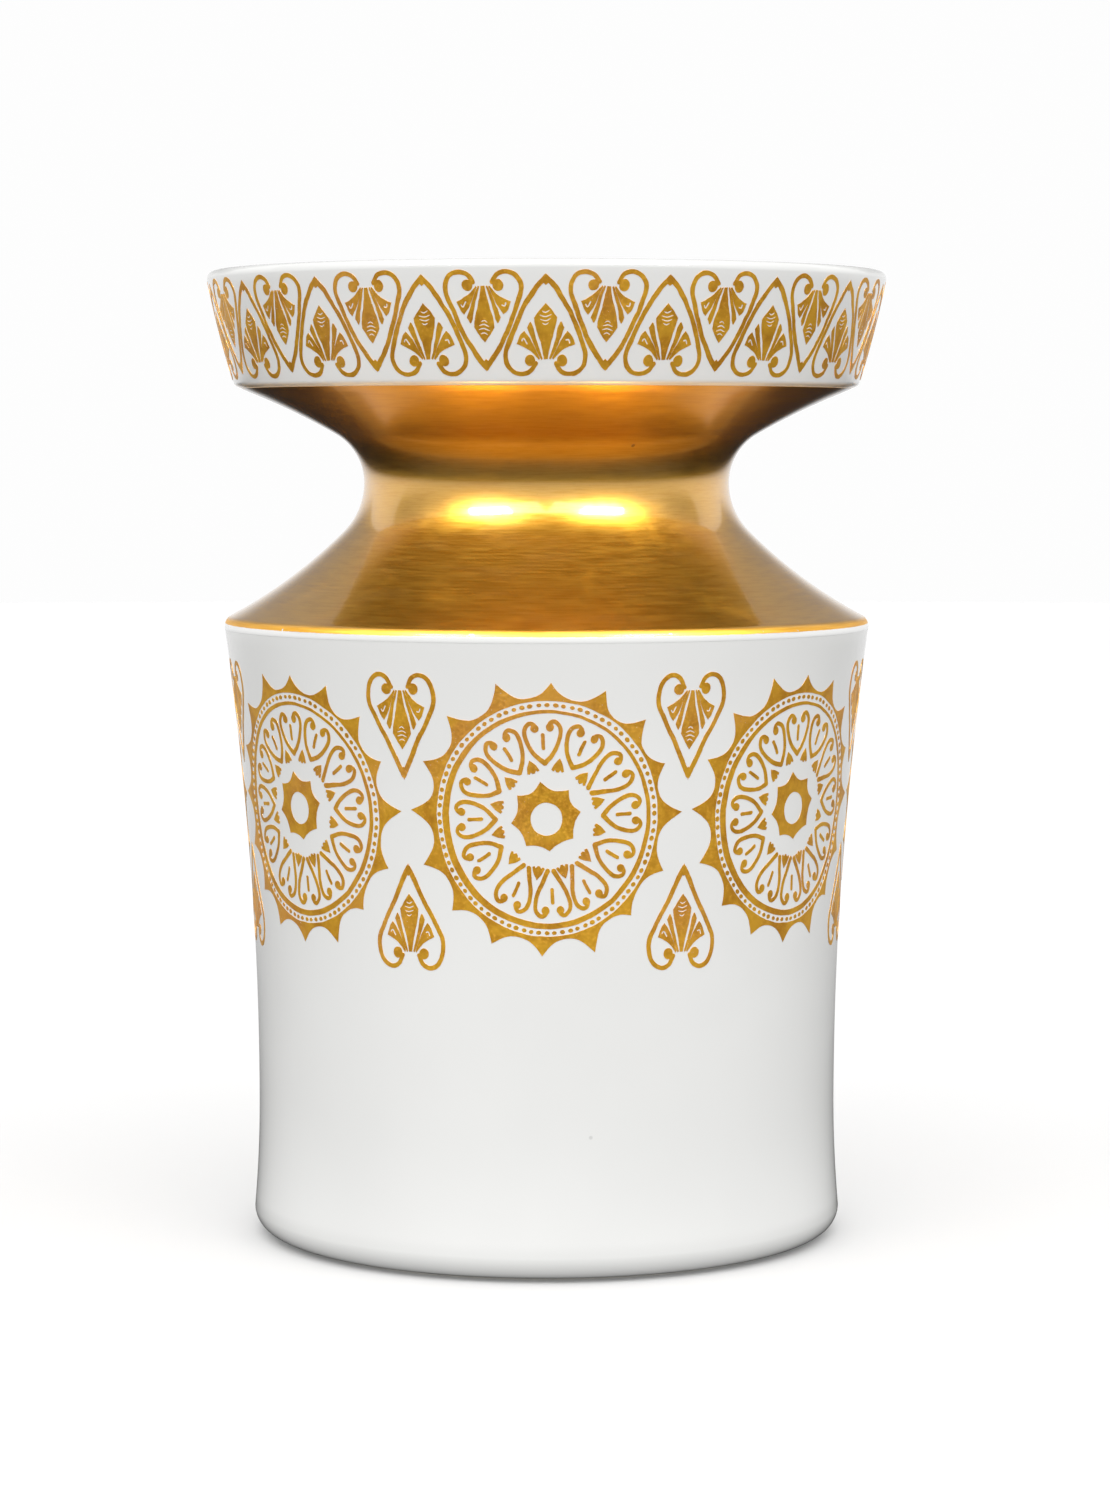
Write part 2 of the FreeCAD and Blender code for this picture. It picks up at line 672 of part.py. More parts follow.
def gilt_piece(label, solids, turn):
    """Add a gilt sub-part: a group of separate solids turned to its place round the vase."""
    piece = document.addObject("Part::Feature", label)
    piece.Label = label
    piece.Shape = Part.Compound(solids)
    piece.Placement = FreeCAD.Placement(FreeCAD.Vector(), FreeCAD.Rotation(UP, turn))
    return piece


def turned_copies(solids, turns):
    """Return copies of some solids at each turn round the vase."""
    copies = []
    for turn in turns:
        for solid in solids:
            copy = solid.copy()
            copy.rotate(FreeCAD.Vector(), UP, turn)
            copies.append(copy)
    return copies


def make_body_ornament():
    """The medallions, the first one in front, and the pairs of hearts tip to tip between them."""
    count, line = int(size("medallion_count")), body_line()
    shoulder = size("shoulder_height")
    surface = skin(line, size("waist_height"), shoulder, 1.4 * 180 / count)
    height = shoulder - size("medallion_drop")
    solids = medallion(surface, height, reach_at(line, height))
    pieces = [gilt_piece(f"medallion_{k + 1}", solids, 360 * k / count) for k in range(count)]
    length, width = size("heart_length"), size("heart_width")
    for name, side in (("upper_heart", 1), ("lower_heart", -1)):
        tip = shoulder - size("heart_drop") + side * size("heart_gap")
        reach = reach_at(line, tip + side * length / 2)
        solids = palmette_heart(stencil((0, tip), 90 - 90 * side, reach), width, length, surface)
        for k in range(count):
            pieces.append(gilt_piece(f"{name}_{k + 1}", solids, 360 * (k + 0.5) / count))
    return pieces


def make_frieze():
    """The frieze of upright and inverted hearts round the collar."""
    count, line = int(size("frieze_count")), collar_line()
    foot = number(COLLAR_HEIGHT) + size("frieze_foot")
    length = size("collar_rise") - size("frieze_foot") - size("frieze_top")
    reach = reach_at(line, foot + length / 2)
    width = (math.pi * reach / count - size("frieze_gap")) / HEART_MIDDLE
    surface = skin(line, number(COLLAR_HEIGHT), number(RIM_HEIGHT), 1.4 * 180 / count)
    upright = palmette_heart(stencil((0, foot + length), 180, reach), width, length, surface)
    lifted = stencil((0, foot + size("frieze_shift")), 0, reach)
    inverted = palmette_heart(lifted, width, length, surface)
    turns = [360 * k / count for k in range(count)]
    between = [turn + 180 / count for turn in turns]
    return [gilt_piece("frieze_upright_hearts", turned_copies(upright, turns), 0),
            gilt_piece("frieze_inverted_hearts", turned_copies(inverted, between), 0)]


# ---------------------------------------------------------------- the whole vase

def make_vase():
    """Make every sub-part and return them."""
    pieces = [make_foot_ring(), make_base_floor(), make_body_wall(), make_shoulder_cone(),
              make_throat_flare(), make_rim_collar(), make_neck_gilding()]
    pieces += make_body_ornament() + make_frieze()
    document.recompute()
    return pieces


def check(pieces):
    """Stop if any object failed to build or any sub-part isn't a sound solid."""
    for item in document.Objects:
        if "Invalid" in item.State or "Error" in item.State:
            raise RuntimeError(f"{item.Label} failed: {item.State}")
    for piece in pieces:
        if piece.Shape.isNull() or not piece.Shape.isValid() or not piece.Shape.Solids:
            raise RuntimeError(f"{piece.Label} has no sound solid")


def write_parts(pieces):
    """Write each sub-part to a file of its own."""
    os.makedirs("parts", exist_ok=True)
    for piece in pieces:
        piece.Shape.exportStep(f"parts/{piece.Label}.step")
        print(piece.Label, len(piece.Shape.Solids), round(piece.Shape.Volume, 1))


vase = make_vase()
check(vase)
write_parts(vase)
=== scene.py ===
import math

import bpy
import numpy as np
from bpy.props import FloatProperty, FloatVectorProperty, IntProperty, PointerProperty
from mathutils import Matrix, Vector, geometry, noise


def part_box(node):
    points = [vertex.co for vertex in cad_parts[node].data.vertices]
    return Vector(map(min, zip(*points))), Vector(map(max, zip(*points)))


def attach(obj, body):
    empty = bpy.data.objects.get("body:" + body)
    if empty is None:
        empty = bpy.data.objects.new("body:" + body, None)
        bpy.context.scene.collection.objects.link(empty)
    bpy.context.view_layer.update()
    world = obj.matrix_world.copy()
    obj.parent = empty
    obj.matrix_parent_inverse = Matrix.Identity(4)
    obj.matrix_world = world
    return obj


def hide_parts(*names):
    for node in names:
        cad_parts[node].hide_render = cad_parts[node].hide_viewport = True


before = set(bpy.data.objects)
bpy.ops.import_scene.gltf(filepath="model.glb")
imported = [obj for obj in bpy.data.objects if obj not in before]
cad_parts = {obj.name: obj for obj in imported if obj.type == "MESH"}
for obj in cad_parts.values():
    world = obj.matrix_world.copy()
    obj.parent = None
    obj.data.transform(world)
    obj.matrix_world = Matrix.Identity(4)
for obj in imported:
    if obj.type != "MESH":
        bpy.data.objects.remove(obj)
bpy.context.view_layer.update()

bl_info = {
    "name": "Gilded Porcelain Vase",
    "version": (1, 0, 0),
    "blender": (4, 5, 0),
    "location": "3D View > Sidebar > Vase",
    "description": "Makes a waisted porcelain vase with a gilded neck and gilt ornament",
    "category": "Add Mesh",
}

MM = 0.001
TURN = 2 * math.pi
BODY = "root"


# ---------------------------------------------------------------- what a user may change

def length(name, description, default):
    """Return a size in metres."""
    return FloatProperty(name=name, description=description, default=default, min=0.0,
                         precision=5, unit="LENGTH")


def share(name, description, default):
    """Return a number from 0 to 1."""
    return FloatProperty(name=name, description=description, default=default, min=0.0, max=1.0,
                         subtype="FACTOR")


def colour(name, description, default):
    """Return a colour."""
    return FloatVectorProperty(name=name, description=description, default=default, size=3,
                               min=0.0, max=1.0, subtype="COLOR")


def pitch(name, description, degrees):
    """Return an angle."""
    return FloatProperty(name=name, description=description, default=math.radians(degrees),
                         unit="ROTATION")


class VaseForm(bpy.types.PropertyGroup):
    """Sizes of the turned porcelain."""

    height: length("Height", "Table to rim", round(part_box("rim_collar")[1].z, 5))
    waist_radius: length("Waist Radius", "Outside of the body where it is narrowest", 0.0754)
    waist_height: length("Waist Height", "Height of that waist", 0.036)
    foot_radius: length("Foot Radius", "Outside of the body just above its rounded edge", 0.0767)
    foot_rounding: length("Foot Rounding", "Radius of the body's bottom edge", 0.006)
    foot_gap: length("Foot Gap", "The glazed edge stays this far above the table", 0.0006)
    ring_outside: length("Ring Outside", "Outside radius of the bare foot ring", 0.0695)
    ring_inside: length("Ring Inside", "Inside radius of the bare foot ring", 0.0649)
    ring_rounding: length("Ring Rounding", "Radius of the foot ring's edges", 0.0008)
    base_height: length("Base Height", "Height of the recessed underside", 0.0045)
    floor_height: length("Floor Height", "Height of the floor inside", 0.0091)
    shoulder_radius: length("Shoulder Radius", "Outside of the body at the gilding", 0.0837)
    shoulder_height: length("Shoulder Height", "Height of the gilding's lower edge", 0.158)
    shoulder_rounding: length("Shoulder Rounding", "Radius of the shoulder's edge", 0.0032)
    shoulder_pitch: pitch("Shoulder Pitch", "Slope of the cone above the shoulder", 28.0)
    throat_radius: length("Throat Radius", "Outside of the neck at its narrowest", 0.0474)
    throat_height: length("Throat Height", "Height of that narrowest place", 0.1957)
    lower_bend: length("Lower Bend", "Bend of the neck below the throat", 0.018)
    upper_bend: length("Upper Bend", "Bend of the neck above the throat", 0.0145)
    lower_turn: pitch("Lower Turn", "How far the neck turns in its lower bend", 45.0)
    upper_turn: pitch("Upper Turn", "How far the neck turns in its upper bend", 60.0)
    flare_run: length("Flare Run", "Straight end of the flare, below the collar", 0.0052)
    collar_radius: length("Collar Radius", "Outside of the collar's lower edge", 0.0809)
    collar_height: length("Collar Height", "Height of the collar's lower edge", 0.2208)
    collar_pitch: pitch("Flare Pitch", "Slope of the flare where it meets the collar", 23.5)
    collar_bow: length("Collar Bow", "Radius of the collar's slight bow", 0.264)
    collar_rounding: length("Collar Rounding", "Radius of the collar's lower edge", 0.0014)
    rim_radius: length("Rim Radius", "Outside of the rim before its edge is rounded", 0.0882)
    rim_rounding: length("Rim Rounding", "Radius of the rim's edges", 0.0019)
    floor_rounding: length("Floor Rounding", "Radius between the floor and the wall", 0.003)
    body_wall: length("Body Wall", "Thickness of the body", 0.0046)
    neck_wall: length("Neck Wall", "Thickness of the neck", 0.0042)
    collar_wall: length("Collar Wall", "Thickness of the collar", 0.0044)
    gold_top_radius: length("Gilding Top", "Radius at which the neck's gilding ends", 0.07916)
    sides: IntProperty(name="Sides", description="Facets round the vase", default=240, min=24)


class VaseOrnament(bpy.types.PropertyGroup):
    """Sizes of the gilt ornament."""

    medallions: IntProperty(name="Medallions", description="Medallions round the body",
                            default=7, min=3)
    medallion_radius: length("Medallion Radius", "Centre to tips", 0.0337)
    medallion_height: length("Medallion Height", "Height of the medallions' centres", 0.115)
    heart_length: length("Heart Length", "Length of the hearts between medallions", 0.0262)
    heart_width: length("Heart Width", "Width of the hearts between medallions", 0.0188)
    upper_tip: length("Upper Tip", "Height of the upper hearts' tips", 0.1243)
    lower_tip: length("Lower Tip", "Height of the lower hearts' tips", 0.1033)
    frieze_hearts: IntProperty(name="Frieze Hearts", description="Upright hearts round the collar",
                               default=18, min=3)
    upright_tip: length("Upright Tip", "Height of the upright hearts' tips", 0.2463)
    upright_length: length("Upright Length", "Length of the upright hearts", 0.0243)
    upright_width: length("Upright Width", "Width of the upright hearts", 0.0206)
    inverted_tip: length("Inverted Tip", "Height of the inverted hearts' tips", 0.2234)
    inverted_length: length("Inverted Length", "Length of the inverted hearts", 0.0240)
    inverted_width: length("Inverted Width", "Width of the inverted hearts", 0.0190)
    line: length("Line", "Width of the hearts' line", 0.00115)
    fine_line: length("Fine Line", "Width of the wreath's line", 0.00106)
    relief: length("Relief", "How far the gold stands proud", 0.00007)
    wander: length("Wander", "How far the drawn edges stray", 0.00016)


class VaseFinish(bpy.types.PropertyGroup):
    """Colours of the finishes."""

    glaze: colour("Glaze", "Glazed white porcelain", (0.82, 0.82, 0.805))
    biscuit: colour("Biscuit", "Bare ground porcelain", (0.74, 0.70, 0.62))
    burnished: colour("Burnished Gold", "Gilding round the neck", (0.86, 0.47, 0.06))
    printed: colour("Printed Gold", "Gold of the ornament", (0.80, 0.42, 0.026))
    burnish: share("Burnish", "Roughness of the neck's gilding", 0.30)
    satin: share("Satin", "Roughness of the ornament", 0.38)


class VaseStage(bpy.types.PropertyGroup):
    """The light and the floor."""

    floor: colour("Floor", "Colour of the floor", (0.78, 0.78, 0.78))
    lamp_power: FloatProperty(name="Lamps", description="Power of each front lamp", default=28.0,
                              unit="POWER")
    window_glow: FloatProperty(name="Windows", description="Glow of the windows in reflections",
                               default=0.95)


# ---------------------------------------------------------------- nodes written as arithmetic

class Value:
    """A socket that takes part in arithmetic: an expression adds the nodes that work it out."""

    def __init__(self, graph, made, output):
        self.graph, self.made = graph, made
        self.socket = made.outputs[output]

    def also(self, output):
        """Return another output of the same node."""
        return Value(self.graph, self.made, output)

    def __add__(self, other):
        return self.graph.maths("ADD", self, other)

    def __radd__(self, other):
        return self.graph.maths("ADD", other, self)

    def __sub__(self, other):
        return self.graph.maths("SUBTRACT", self, other)

    def __rsub__(self, other):
        return self.graph.maths("SUBTRACT", other, self)

    def __mul__(self, other):
        return self.graph.maths("MULTIPLY", self, other)

    def __rmul__(self, other):
        return self.graph.maths("MULTIPLY", other, self)

    def __truediv__(self, other):
        return self.graph.maths("DIVIDE", self, other)

    def __neg__(self):
        return self.graph.maths("SUBTRACT", 0.0, self)


class Graph:
    """A node tree, with one way to add any node."""

    def __init__(self, tree):
        self.tree = tree

    def node(self, kind, settings=None, inputs=None, output=0):
        """Add a node: its settings first, then the values or links of its sockets."""
        made = self.tree.nodes.new(kind)
        for name, value in (settings or {}).items():
            setattr(made, name, value)
        for name, value in (inputs or {}).items():
            if isinstance(value, Value):
                self.tree.links.new(value.socket, made.inputs[name])
            else:
                made.inputs[name].default_value = value
        return Value(self, made, output) if made.outputs else made

    def maths(self, operation, *values):
        """Return the result of a Math node."""
        return self.node("ShaderNodeMath", {"operation": operation}, dict(enumerate(values)))

    def between(self, value, low, high):
        """Return 0 below low, 1 above high and a smooth rise between them."""
        return self.node("ShaderNodeMapRange", {"interpolation_type": "SMOOTHSTEP"},
                         {"Value": value, "From Min": low, "From Max": high})

    def blend(self, factor, first, second):
        """Return a mix of two colours."""
        first, second = [t if isinstance(t, Value) else (*t, 1.0) for t in (first, second)]
        return self.node("ShaderNodeMix", {"data_type": "RGBA"}, {0: factor, 6: first, 7: second},
                         output=2)

    def spots(self, place, scale, full, clear):
        """Return 1 in small scattered spots of one radius, in cells, and 0 beyond another."""
        away = self.node("ShaderNodeTexVoronoi", {"feature": "F1"},
                         {"Vector": place, "Scale": scale})
        return 1.0 - self.between(away, full, clear)

    def vector(self, x, y, z):
        """Return a vector made of three numbers."""
        return self.node("ShaderNodeCombineXYZ", None, {0: x, 1: y, 2: z})

    def grain(self, place, scale, detail=3.0, roughness=0.5):
        """Return smooth noise."""
        return self.node("ShaderNodeTexNoise", None, {
            "Vector": place, "Scale": scale, "Detail": detail, "Roughness": roughness})

    def bump(self, height, distance, strength=1.0, under=None):
        """Return a surface direction for a height in metres times distance."""
        inputs = {"Strength": strength, "Distance": distance, "Height": height}
        if under is not None:
            inputs["Normal"] = under
        return self.node("ShaderNodeBump", None, inputs)


class Finish(Graph):
    """A material with one surface shader.  Uniform settings go straight to the shader's sockets."""

    def __init__(self, name, **uniform):
        self.material = bpy.data.materials.new(name)
        self.material.use_nodes = True
        super().__init__(self.material.node_tree)
        self.tree.nodes.clear()
        self.shader = self.node("ShaderNodeBsdfPrincipled").made
        for socket, value in uniform.items():
            self.shader.inputs[socket.replace("_", " ")].default_value = value
        ends = self.node("ShaderNodeOutputMaterial")
        self.tree.links.new(self.shader.outputs[0], ends.inputs[0])

    def feed(self, socket, value):
        """Link a value that varies over the surface to the shader."""
        self.tree.links.new(value.socket, self.shader.inputs[socket])

    def place(self):
        """Return the position on the object, which is also the position in the scene."""
        return self.node("ShaderNodeTexCoord", output="Object")

    def round_vase(self, around, up):
        """Return the height, and a position whose grain runs round the axis, with no seam."""
        parts = self.node("ShaderNodeSeparateXYZ", None, {0: self.place()})
        x, y, z = parts, parts.also(1), parts.also(2)
        reach = self.maths("SQRT", x * x + y * y) + 1e-5
        return z, self.vector(x / reach * around, y / reach * around, z * up)


# ---------------------------------------------------------------- turned shapes

def arc(centre, radius, start, end, step):
    """Return points along an arc from one direction to another, in radians."""
    count = max(3, math.ceil(abs(end - start) * radius / step) + 1)
    return [(centre[0] + radius * math.cos(a), centre[1] + radius * math.sin(a))
            for a in np.linspace(start, end, count)]


def straight(start, end, step):
    """Return points along a straight line."""
    count = max(2, math.ceil(math.dist(start, end) / step) + 1)
    return [(start[0] + (end[0] - start[0]) * t, start[1] + (end[1] - start[1]) * t)
            for t in np.linspace(0, 1, count)]


def bow(start, end, radius, side, step):
    """Return an arc between two points that bows to its left for 1, to its right for -1."""
    chord = math.dist(start, end)
    sweep = math.asin(chord / 2 / radius)
    heading = math.atan2(end[1] - start[1], end[0] - start[0])
    first = heading + side * (math.pi / 2 + sweep)
    centre = (start[0] - radius * math.cos(first), start[1] - radius * math.sin(first))
    return arc(centre, radius, first, first - side * 2 * sweep, step)


def follow(start, end, end_heading, side, step):
    """Return an arc between two points that ends in a given direction."""
    heading = math.atan2(end[1] - start[1], end[0] - start[0])
    radius = math.dist(start, end) / 2 / math.sin(abs(end_heading - heading))
    return bow(start, end, radius, side, step)


def rounded(first, second, radius, step):
    """Join two lines that meet in a corner with a rounding of some radius."""
    corner = first[-1]

    def leave(points):
        away = next(p for p in points if math.dist(p, corner) > radius)
        reach = math.dist(away, corner)
        return (away[0] - corner[0]) / reach, (away[1] - corner[1]) / reach

    back, on = leave(first[::-1]), leave(second)
    half = math.acos(max(-1, min(1, back[0] * on[0] + back[1] * on[1]))) / 2
    cut = radius / math.tan(half)
    middle = (back[0] + on[0], back[1] + on[1])
    scale = radius / math.sin(half) / math.hypot(*middle)
    centre = (corner[0] + middle[0] * scale, corner[1] + middle[1] * scale)
    ends = [(corner[0] + way[0] * cut, corner[1] + way[1] * cut) for way in (back, on)]
    start, end = [math.atan2(p[1] - centre[1], p[0] - centre[0]) for p in ends]
    turn = (end - start + math.pi) % TURN - math.pi
    keep = 1.05 * cut
    return ([p for p in first if math.dist(p, corner) > keep]
            + arc(centre, radius, start, start + turn, step)
            + [p for p in second if math.dist(p, corner) > keep])


def offset(points, depths):
    """Return a line at some depth to the left of another, without the loops this makes."""
    line = np.array(points)
    ways = np.gradient(line, axis=0)
    ways /= np.linalg.norm(ways, axis=1)[:, None]
    moved = line + np.array(depths)[:, None] * np.stack([-ways[:, 1], ways[:, 0]], axis=1)
    kept, k = [tuple(moved[0])], 0
    while k < len(moved) - 1:
        for j in range(min(len(moved) - 2, k + 40), k + 1, -1):
            hit = geometry.intersect_line_line_2d(moved[k], moved[k + 1], moved[j], moved[j + 1])
            if hit:
                kept.append(tuple(hit))
                k = j
                break
        k += 1
        kept.append(tuple(moved[k]))
    return kept


def waisted_curve(form, end):
    """Return the arc from the waist to the body's foot or shoulder.

    A wall's arc is given as centre, height of centre, radius, and fullness: 1 where it bows
    outwards, -1 where it is waisted."""
    spread, rise = end[0] - form.waist_radius, end[1] - form.waist_height
    radius = (spread ** 2 + rise ** 2) / 2 / spread
    return form.waist_radius + radius, form.waist_height, radius, -1.0


def shoulder_curve(form):
    """Return the arc from the waist to the shoulder, which carries the body's ornament."""
    return waisted_curve(form, (form.shoulder_radius, form.shoulder_height))


def collar_curve(form):
    """Return the arc of the collar's outside."""
    low, high = (form.collar_radius, form.collar_height), (form.rim_radius, form.height)
    chord, radius = math.dist(low, high), form.collar_bow
    reach = math.sqrt(radius ** 2 - chord ** 2 / 4) / chord
    return ((low[0] + high[0]) / 2 - (high[1] - low[1]) * reach,
            (low[1] + high[1]) / 2 + (high[0] - low[0]) * reach, radius, 1.0)


def reach_at(curve, up):
    """Return the wall's distance from the axis at a height."""
    centre, height, radius, fullness = curve
    return centre + fullness * math.sqrt(radius ** 2 - (up - height) ** 2)


def wall_line(form):
    """Return the outside of the porcelain from its bottom edge to the collar's lower edge."""
    foot = (form.foot_radius, form.foot_gap + form.foot_rounding)
    shoulder = (form.shoulder_radius, form.shoulder_height)
    line = arc((foot[0] - form.foot_rounding, foot[1]), form.foot_rounding, -math.pi / 2, 0,
               step=0.0006)
    for low, high, end in ((foot[1], form.waist_height, foot),
                           (form.waist_height, shoulder[1], shoulder)):
        curve = waisted_curve(form, end)
        heights = np.linspace(low, high, max(8, math.ceil((high - low) / 0.003)))
        line += [(reach_at(curve, up), up) for up in heights[1:]]

    lean = math.asin((shoulder[1] - form.waist_height) / curve[2])
    edge = form.shoulder_rounding
    centre = (shoulder[0] - edge * math.cos(lean), shoulder[1] + edge * math.sin(lean))
    line += arc(centre, edge, -lean, math.pi / 2 - form.shoulder_pitch, step=0.0003)[1:]
    slope = (-math.cos(form.shoulder_pitch), math.sin(form.shoulder_pitch))
    seam = (line[-1][0] + edge * slope[0], line[-1][1] + edge * slope[1])
    line += straight(line[-1], seam, step=0.0016)[1:]

    low, high = form.lower_bend, form.upper_bend
    below = arc((form.throat_radius + low, form.throat_height), low, math.pi + form.lower_turn,
                math.pi, step=0.0008)
    above = arc((form.throat_radius + high, form.throat_height), high, math.pi,
                math.pi - form.upper_turn, step=0.0008)
    line += follow(seam, below[0], math.pi / 2 + form.lower_turn, 1, step=0.0014)[1:]
    line += below[1:] + above[1:]

    corner, start = (form.collar_radius, form.collar_height), line[-1]
    joint = (corner[0] - form.flare_run * math.cos(form.collar_pitch),
             corner[1] - form.flare_run * math.sin(form.collar_pitch))
    heading = math.atan2(joint[1] - start[1], joint[0] - start[0])
    leaving = math.pi / 2 - form.upper_turn
    line += follow(start, joint, 2 * heading - leaving, 1, step=0.0014)[1:]
    return line + straight(joint, corner, step=0.0012)[1:]


def collar_line(form):
    """Return the outside of the collar."""
    low, high = (form.collar_radius, form.collar_height), (form.rim_radius, form.height)
    return bow(low, high, form.collar_bow, -1, step=0.0022)


def porcelain_line(form):
    """Return the section of all the glazed porcelain, anticlockwise from the axis."""
    outside = rounded(wall_line(form), collar_line(form), form.collar_rounding, step=0.0003)

    # The wall changes its thickness just over the shoulder and at the collar.
    heights = [form.shoulder_height + 0.002, form.shoulder_height + 0.006,
               form.collar_height - 0.0048, form.collar_height + 0.0032]
    depths = [form.body_wall, form.neck_wall, form.neck_wall, form.collar_wall]
    inside = offset(outside, [float(np.interp(up, heights, depths)) for _, up in outside])
    inside = [p for p in inside if p[1] > form.floor_height][::-1]
    inside = [(inside[0][0], form.height)] + [p for p in inside if p[1] < form.height - 1e-5]

    corner = (inside[-1][0], form.floor_height)
    inside.append(corner)
    top = straight(outside[-1], inside[0], step=0.0006)
    floor = straight(corner, (0.0, form.floor_height), step=0.004)
    line = rounded(outside, top, form.rim_rounding, step=0.00035)
    line = rounded(line, inside, form.rim_rounding, step=0.00035)
    line = rounded(line, floor, form.floor_rounding, step=0.0005)
    under = straight((0.0, form.base_height), (form.ring_outside, form.base_height), step=0.006)
    return under + [(form.ring_outside, form.foot_gap)] + line


def foot_line(form):
    """Return the closed section of the bare foot ring, sunk a little in the glazed underside."""
    near, far, ease = form.ring_inside, form.ring_outside, form.ring_rounding
    sunk = form.base_height + 0.0002
    line = [(near, sunk)]
    line += arc((near + ease, ease), ease, math.pi, 1.5 * math.pi, step=0.00015)
    line += arc((far - ease, ease), ease, 1.5 * math.pi, 2 * math.pi, step=0.00015)
    return line + [(far, sunk), (near, sunk)]


def gold_line(form, relief):
    """Return the closed section of the neck's gilding, from shoulder to collar."""
    wall = [p for p in wall_line(form) if p[1] > form.shoulder_height - 1e-6]
    wall = [p for p in wall if p[1] < form.throat_height or p[0] < form.gold_top_radius]
    proud = offset(wall, [-relief] * len(wall))
    sunk = offset(wall, [relief] * len(wall))
    return proud + sunk[::-1] + [proud[0]]


def turning_tree():
    """Return the tree that turns a section round the axis."""
    tree = bpy.data.node_groups.new("Turned On The Wheel", "GeometryNodeTree")
    face = tree.interface
    face.new_socket("Section", in_out="INPUT", socket_type="NodeSocketGeometry")
    face.new_socket("Sides", in_out="INPUT", socket_type="NodeSocketInt")
    face.new_socket("Crease", in_out="INPUT", socket_type="NodeSocketFloat")
    face.new_socket("Finish", in_out="INPUT", socket_type="NodeSocketMaterial")
    face.new_socket("Turned", in_out="OUTPUT", socket_type="NodeSocketGeometry")
    g = Graph(tree)
    section = g.node("NodeGroupInput")
    sides, crease, finish = section.also("Sides"), section.also("Crease"), section.also("Finish")
    rows = g.node("GeometryNodeAttributeDomainSize", {"component": "MESH"}, {0: section})
    sheet = g.node("GeometryNodeMeshGrid", None, {"Vertices X": sides + 1, "Vertices Y": rows})
    index = g.node("GeometryNodeInputIndex")
    column = g.maths("FLOOR", (index + 0.5) / rows)
    place = g.node("GeometryNodeSampleIndex", {"data_type": "FLOAT_VECTOR", "domain": "POINT"}, {
        "Geometry": section, "Value": g.node("GeometryNodeInputPosition"),
        "Index": index - column * rows})
    parts = g.node("ShaderNodeSeparateXYZ", None, {0: place})
    angle = column * TURN / sides
    laid = g.vector(parts * g.maths("SINE", angle), parts * g.maths("COSINE", angle) * -1.0,
                    parts.also(2))
    turned = g.node("GeometryNodeSetPosition", None, {"Geometry": sheet, "Position": laid})
    closed = g.node("GeometryNodeMergeByDistance", None, {"Geometry": turned, "Distance": 1e-6})
    smooth = g.node("GeometryNodeSetShadeSmooth", {"domain": "FACE"},
                    {"Geometry": closed, "Shade Smooth": True})
    fold = g.node("GeometryNodeInputMeshEdgeAngle")
    sharp = g.node("FunctionNodeCompare", {"operation": "GREATER_THAN"}, {0: fold, 1: crease})
    creased = g.node("GeometryNodeSetShadeSmooth", {"domain": "EDGE"},
                     {"Geometry": smooth, "Selection": sharp, "Shade Smooth": False})
    whole = g.node("GeometryNodeRealizeInstances", None, {"Geometry": creased})
    dressed = g.node("GeometryNodeSetMaterial", None, {"Geometry": whole, "Material": finish})
    g.node("NodeGroupOutput", None, {0: dressed})
    return tree


def settled(name, mesh, tree, inputs):
    """Return an object holding as plain mesh what a tree makes of a mesh."""
    piece = bpy.data.objects.new(name, mesh)
    bpy.context.scene.collection.objects.link(piece)
    modifier = piece.modifiers.new("Make", "NODES")
    modifier.node_group = tree
    for item in tree.interface.items_tree:
        if item.in_out == "INPUT" and item.name in inputs:
            modifier[item.identifier] = inputs[item.name]
    depsgraph = bpy.context.evaluated_depsgraph_get()
    made = bpy.data.meshes.new_from_object(piece.evaluated_get(depsgraph), depsgraph=depsgraph)
    piece.modifiers.clear()
    piece.data = made
    made.name = name
    corners = np.empty(3 * len(made.vertices))
    made.vertices.foreach_get("co", corners)
    made.calc_loop_triangles()
    ends = np.empty(3 * len(made.loop_triangles), dtype=np.int32)
    made.loop_triangles.foreach_get("vertices", ends)
    a, b, c = corners.reshape(-1, 3)[ends.reshape(-1, 3)].transpose(1, 0, 2)
    volume = float((np.cross(a, b) * c).sum()) / 6
    if volume <= 0:
        raise RuntimeError(f"{name} came out inside out or empty")
    print(f"{name}: {len(ends) // 3} triangles, {volume * 1e6:.2f} cm3")
    return piece


def turned(name, line, form, finish, crease=35):
    """Return a piece turned from a section."""
    mesh = bpy.data.meshes.new(name)
    edges = [(k, k + 1) for k in range(len(line) - 1)]
    mesh.from_pydata([(r, 0.0, z) for r, z in line], edges, [])
    tree = bpy.data.node_groups.get("Turned On The Wheel") or turning_tree()
    return settled(name, mesh, tree, {"Sides": form.sides, "Crease": math.radians(crease),
                                      "Finish": finish})


# ---------------------------------------------------------------- drawn ornament, in millimetres

def smooth_line(points, step=0.5):
    """Return a smooth line through some points."""
    p = [np.array(q, float) for q in points]
    p = [2 * p[0] - p[1]] + p + [2 * p[-1] - p[-2]]
    line = []
    for a, b, c, d in zip(p, p[1:], p[2:], p[3:]):
        count = max(2, math.ceil(np.linalg.norm(c - b) / step))
        for t in np.arange(count) / count:
            line.append(0.5 * (2 * b + (c - a) * t + (2 * a - 5 * b + 4 * c - d) * t * t
                               + (3 * b - a - 3 * c + d) * t ** 3))
    return np.array(line + [p[-2]])


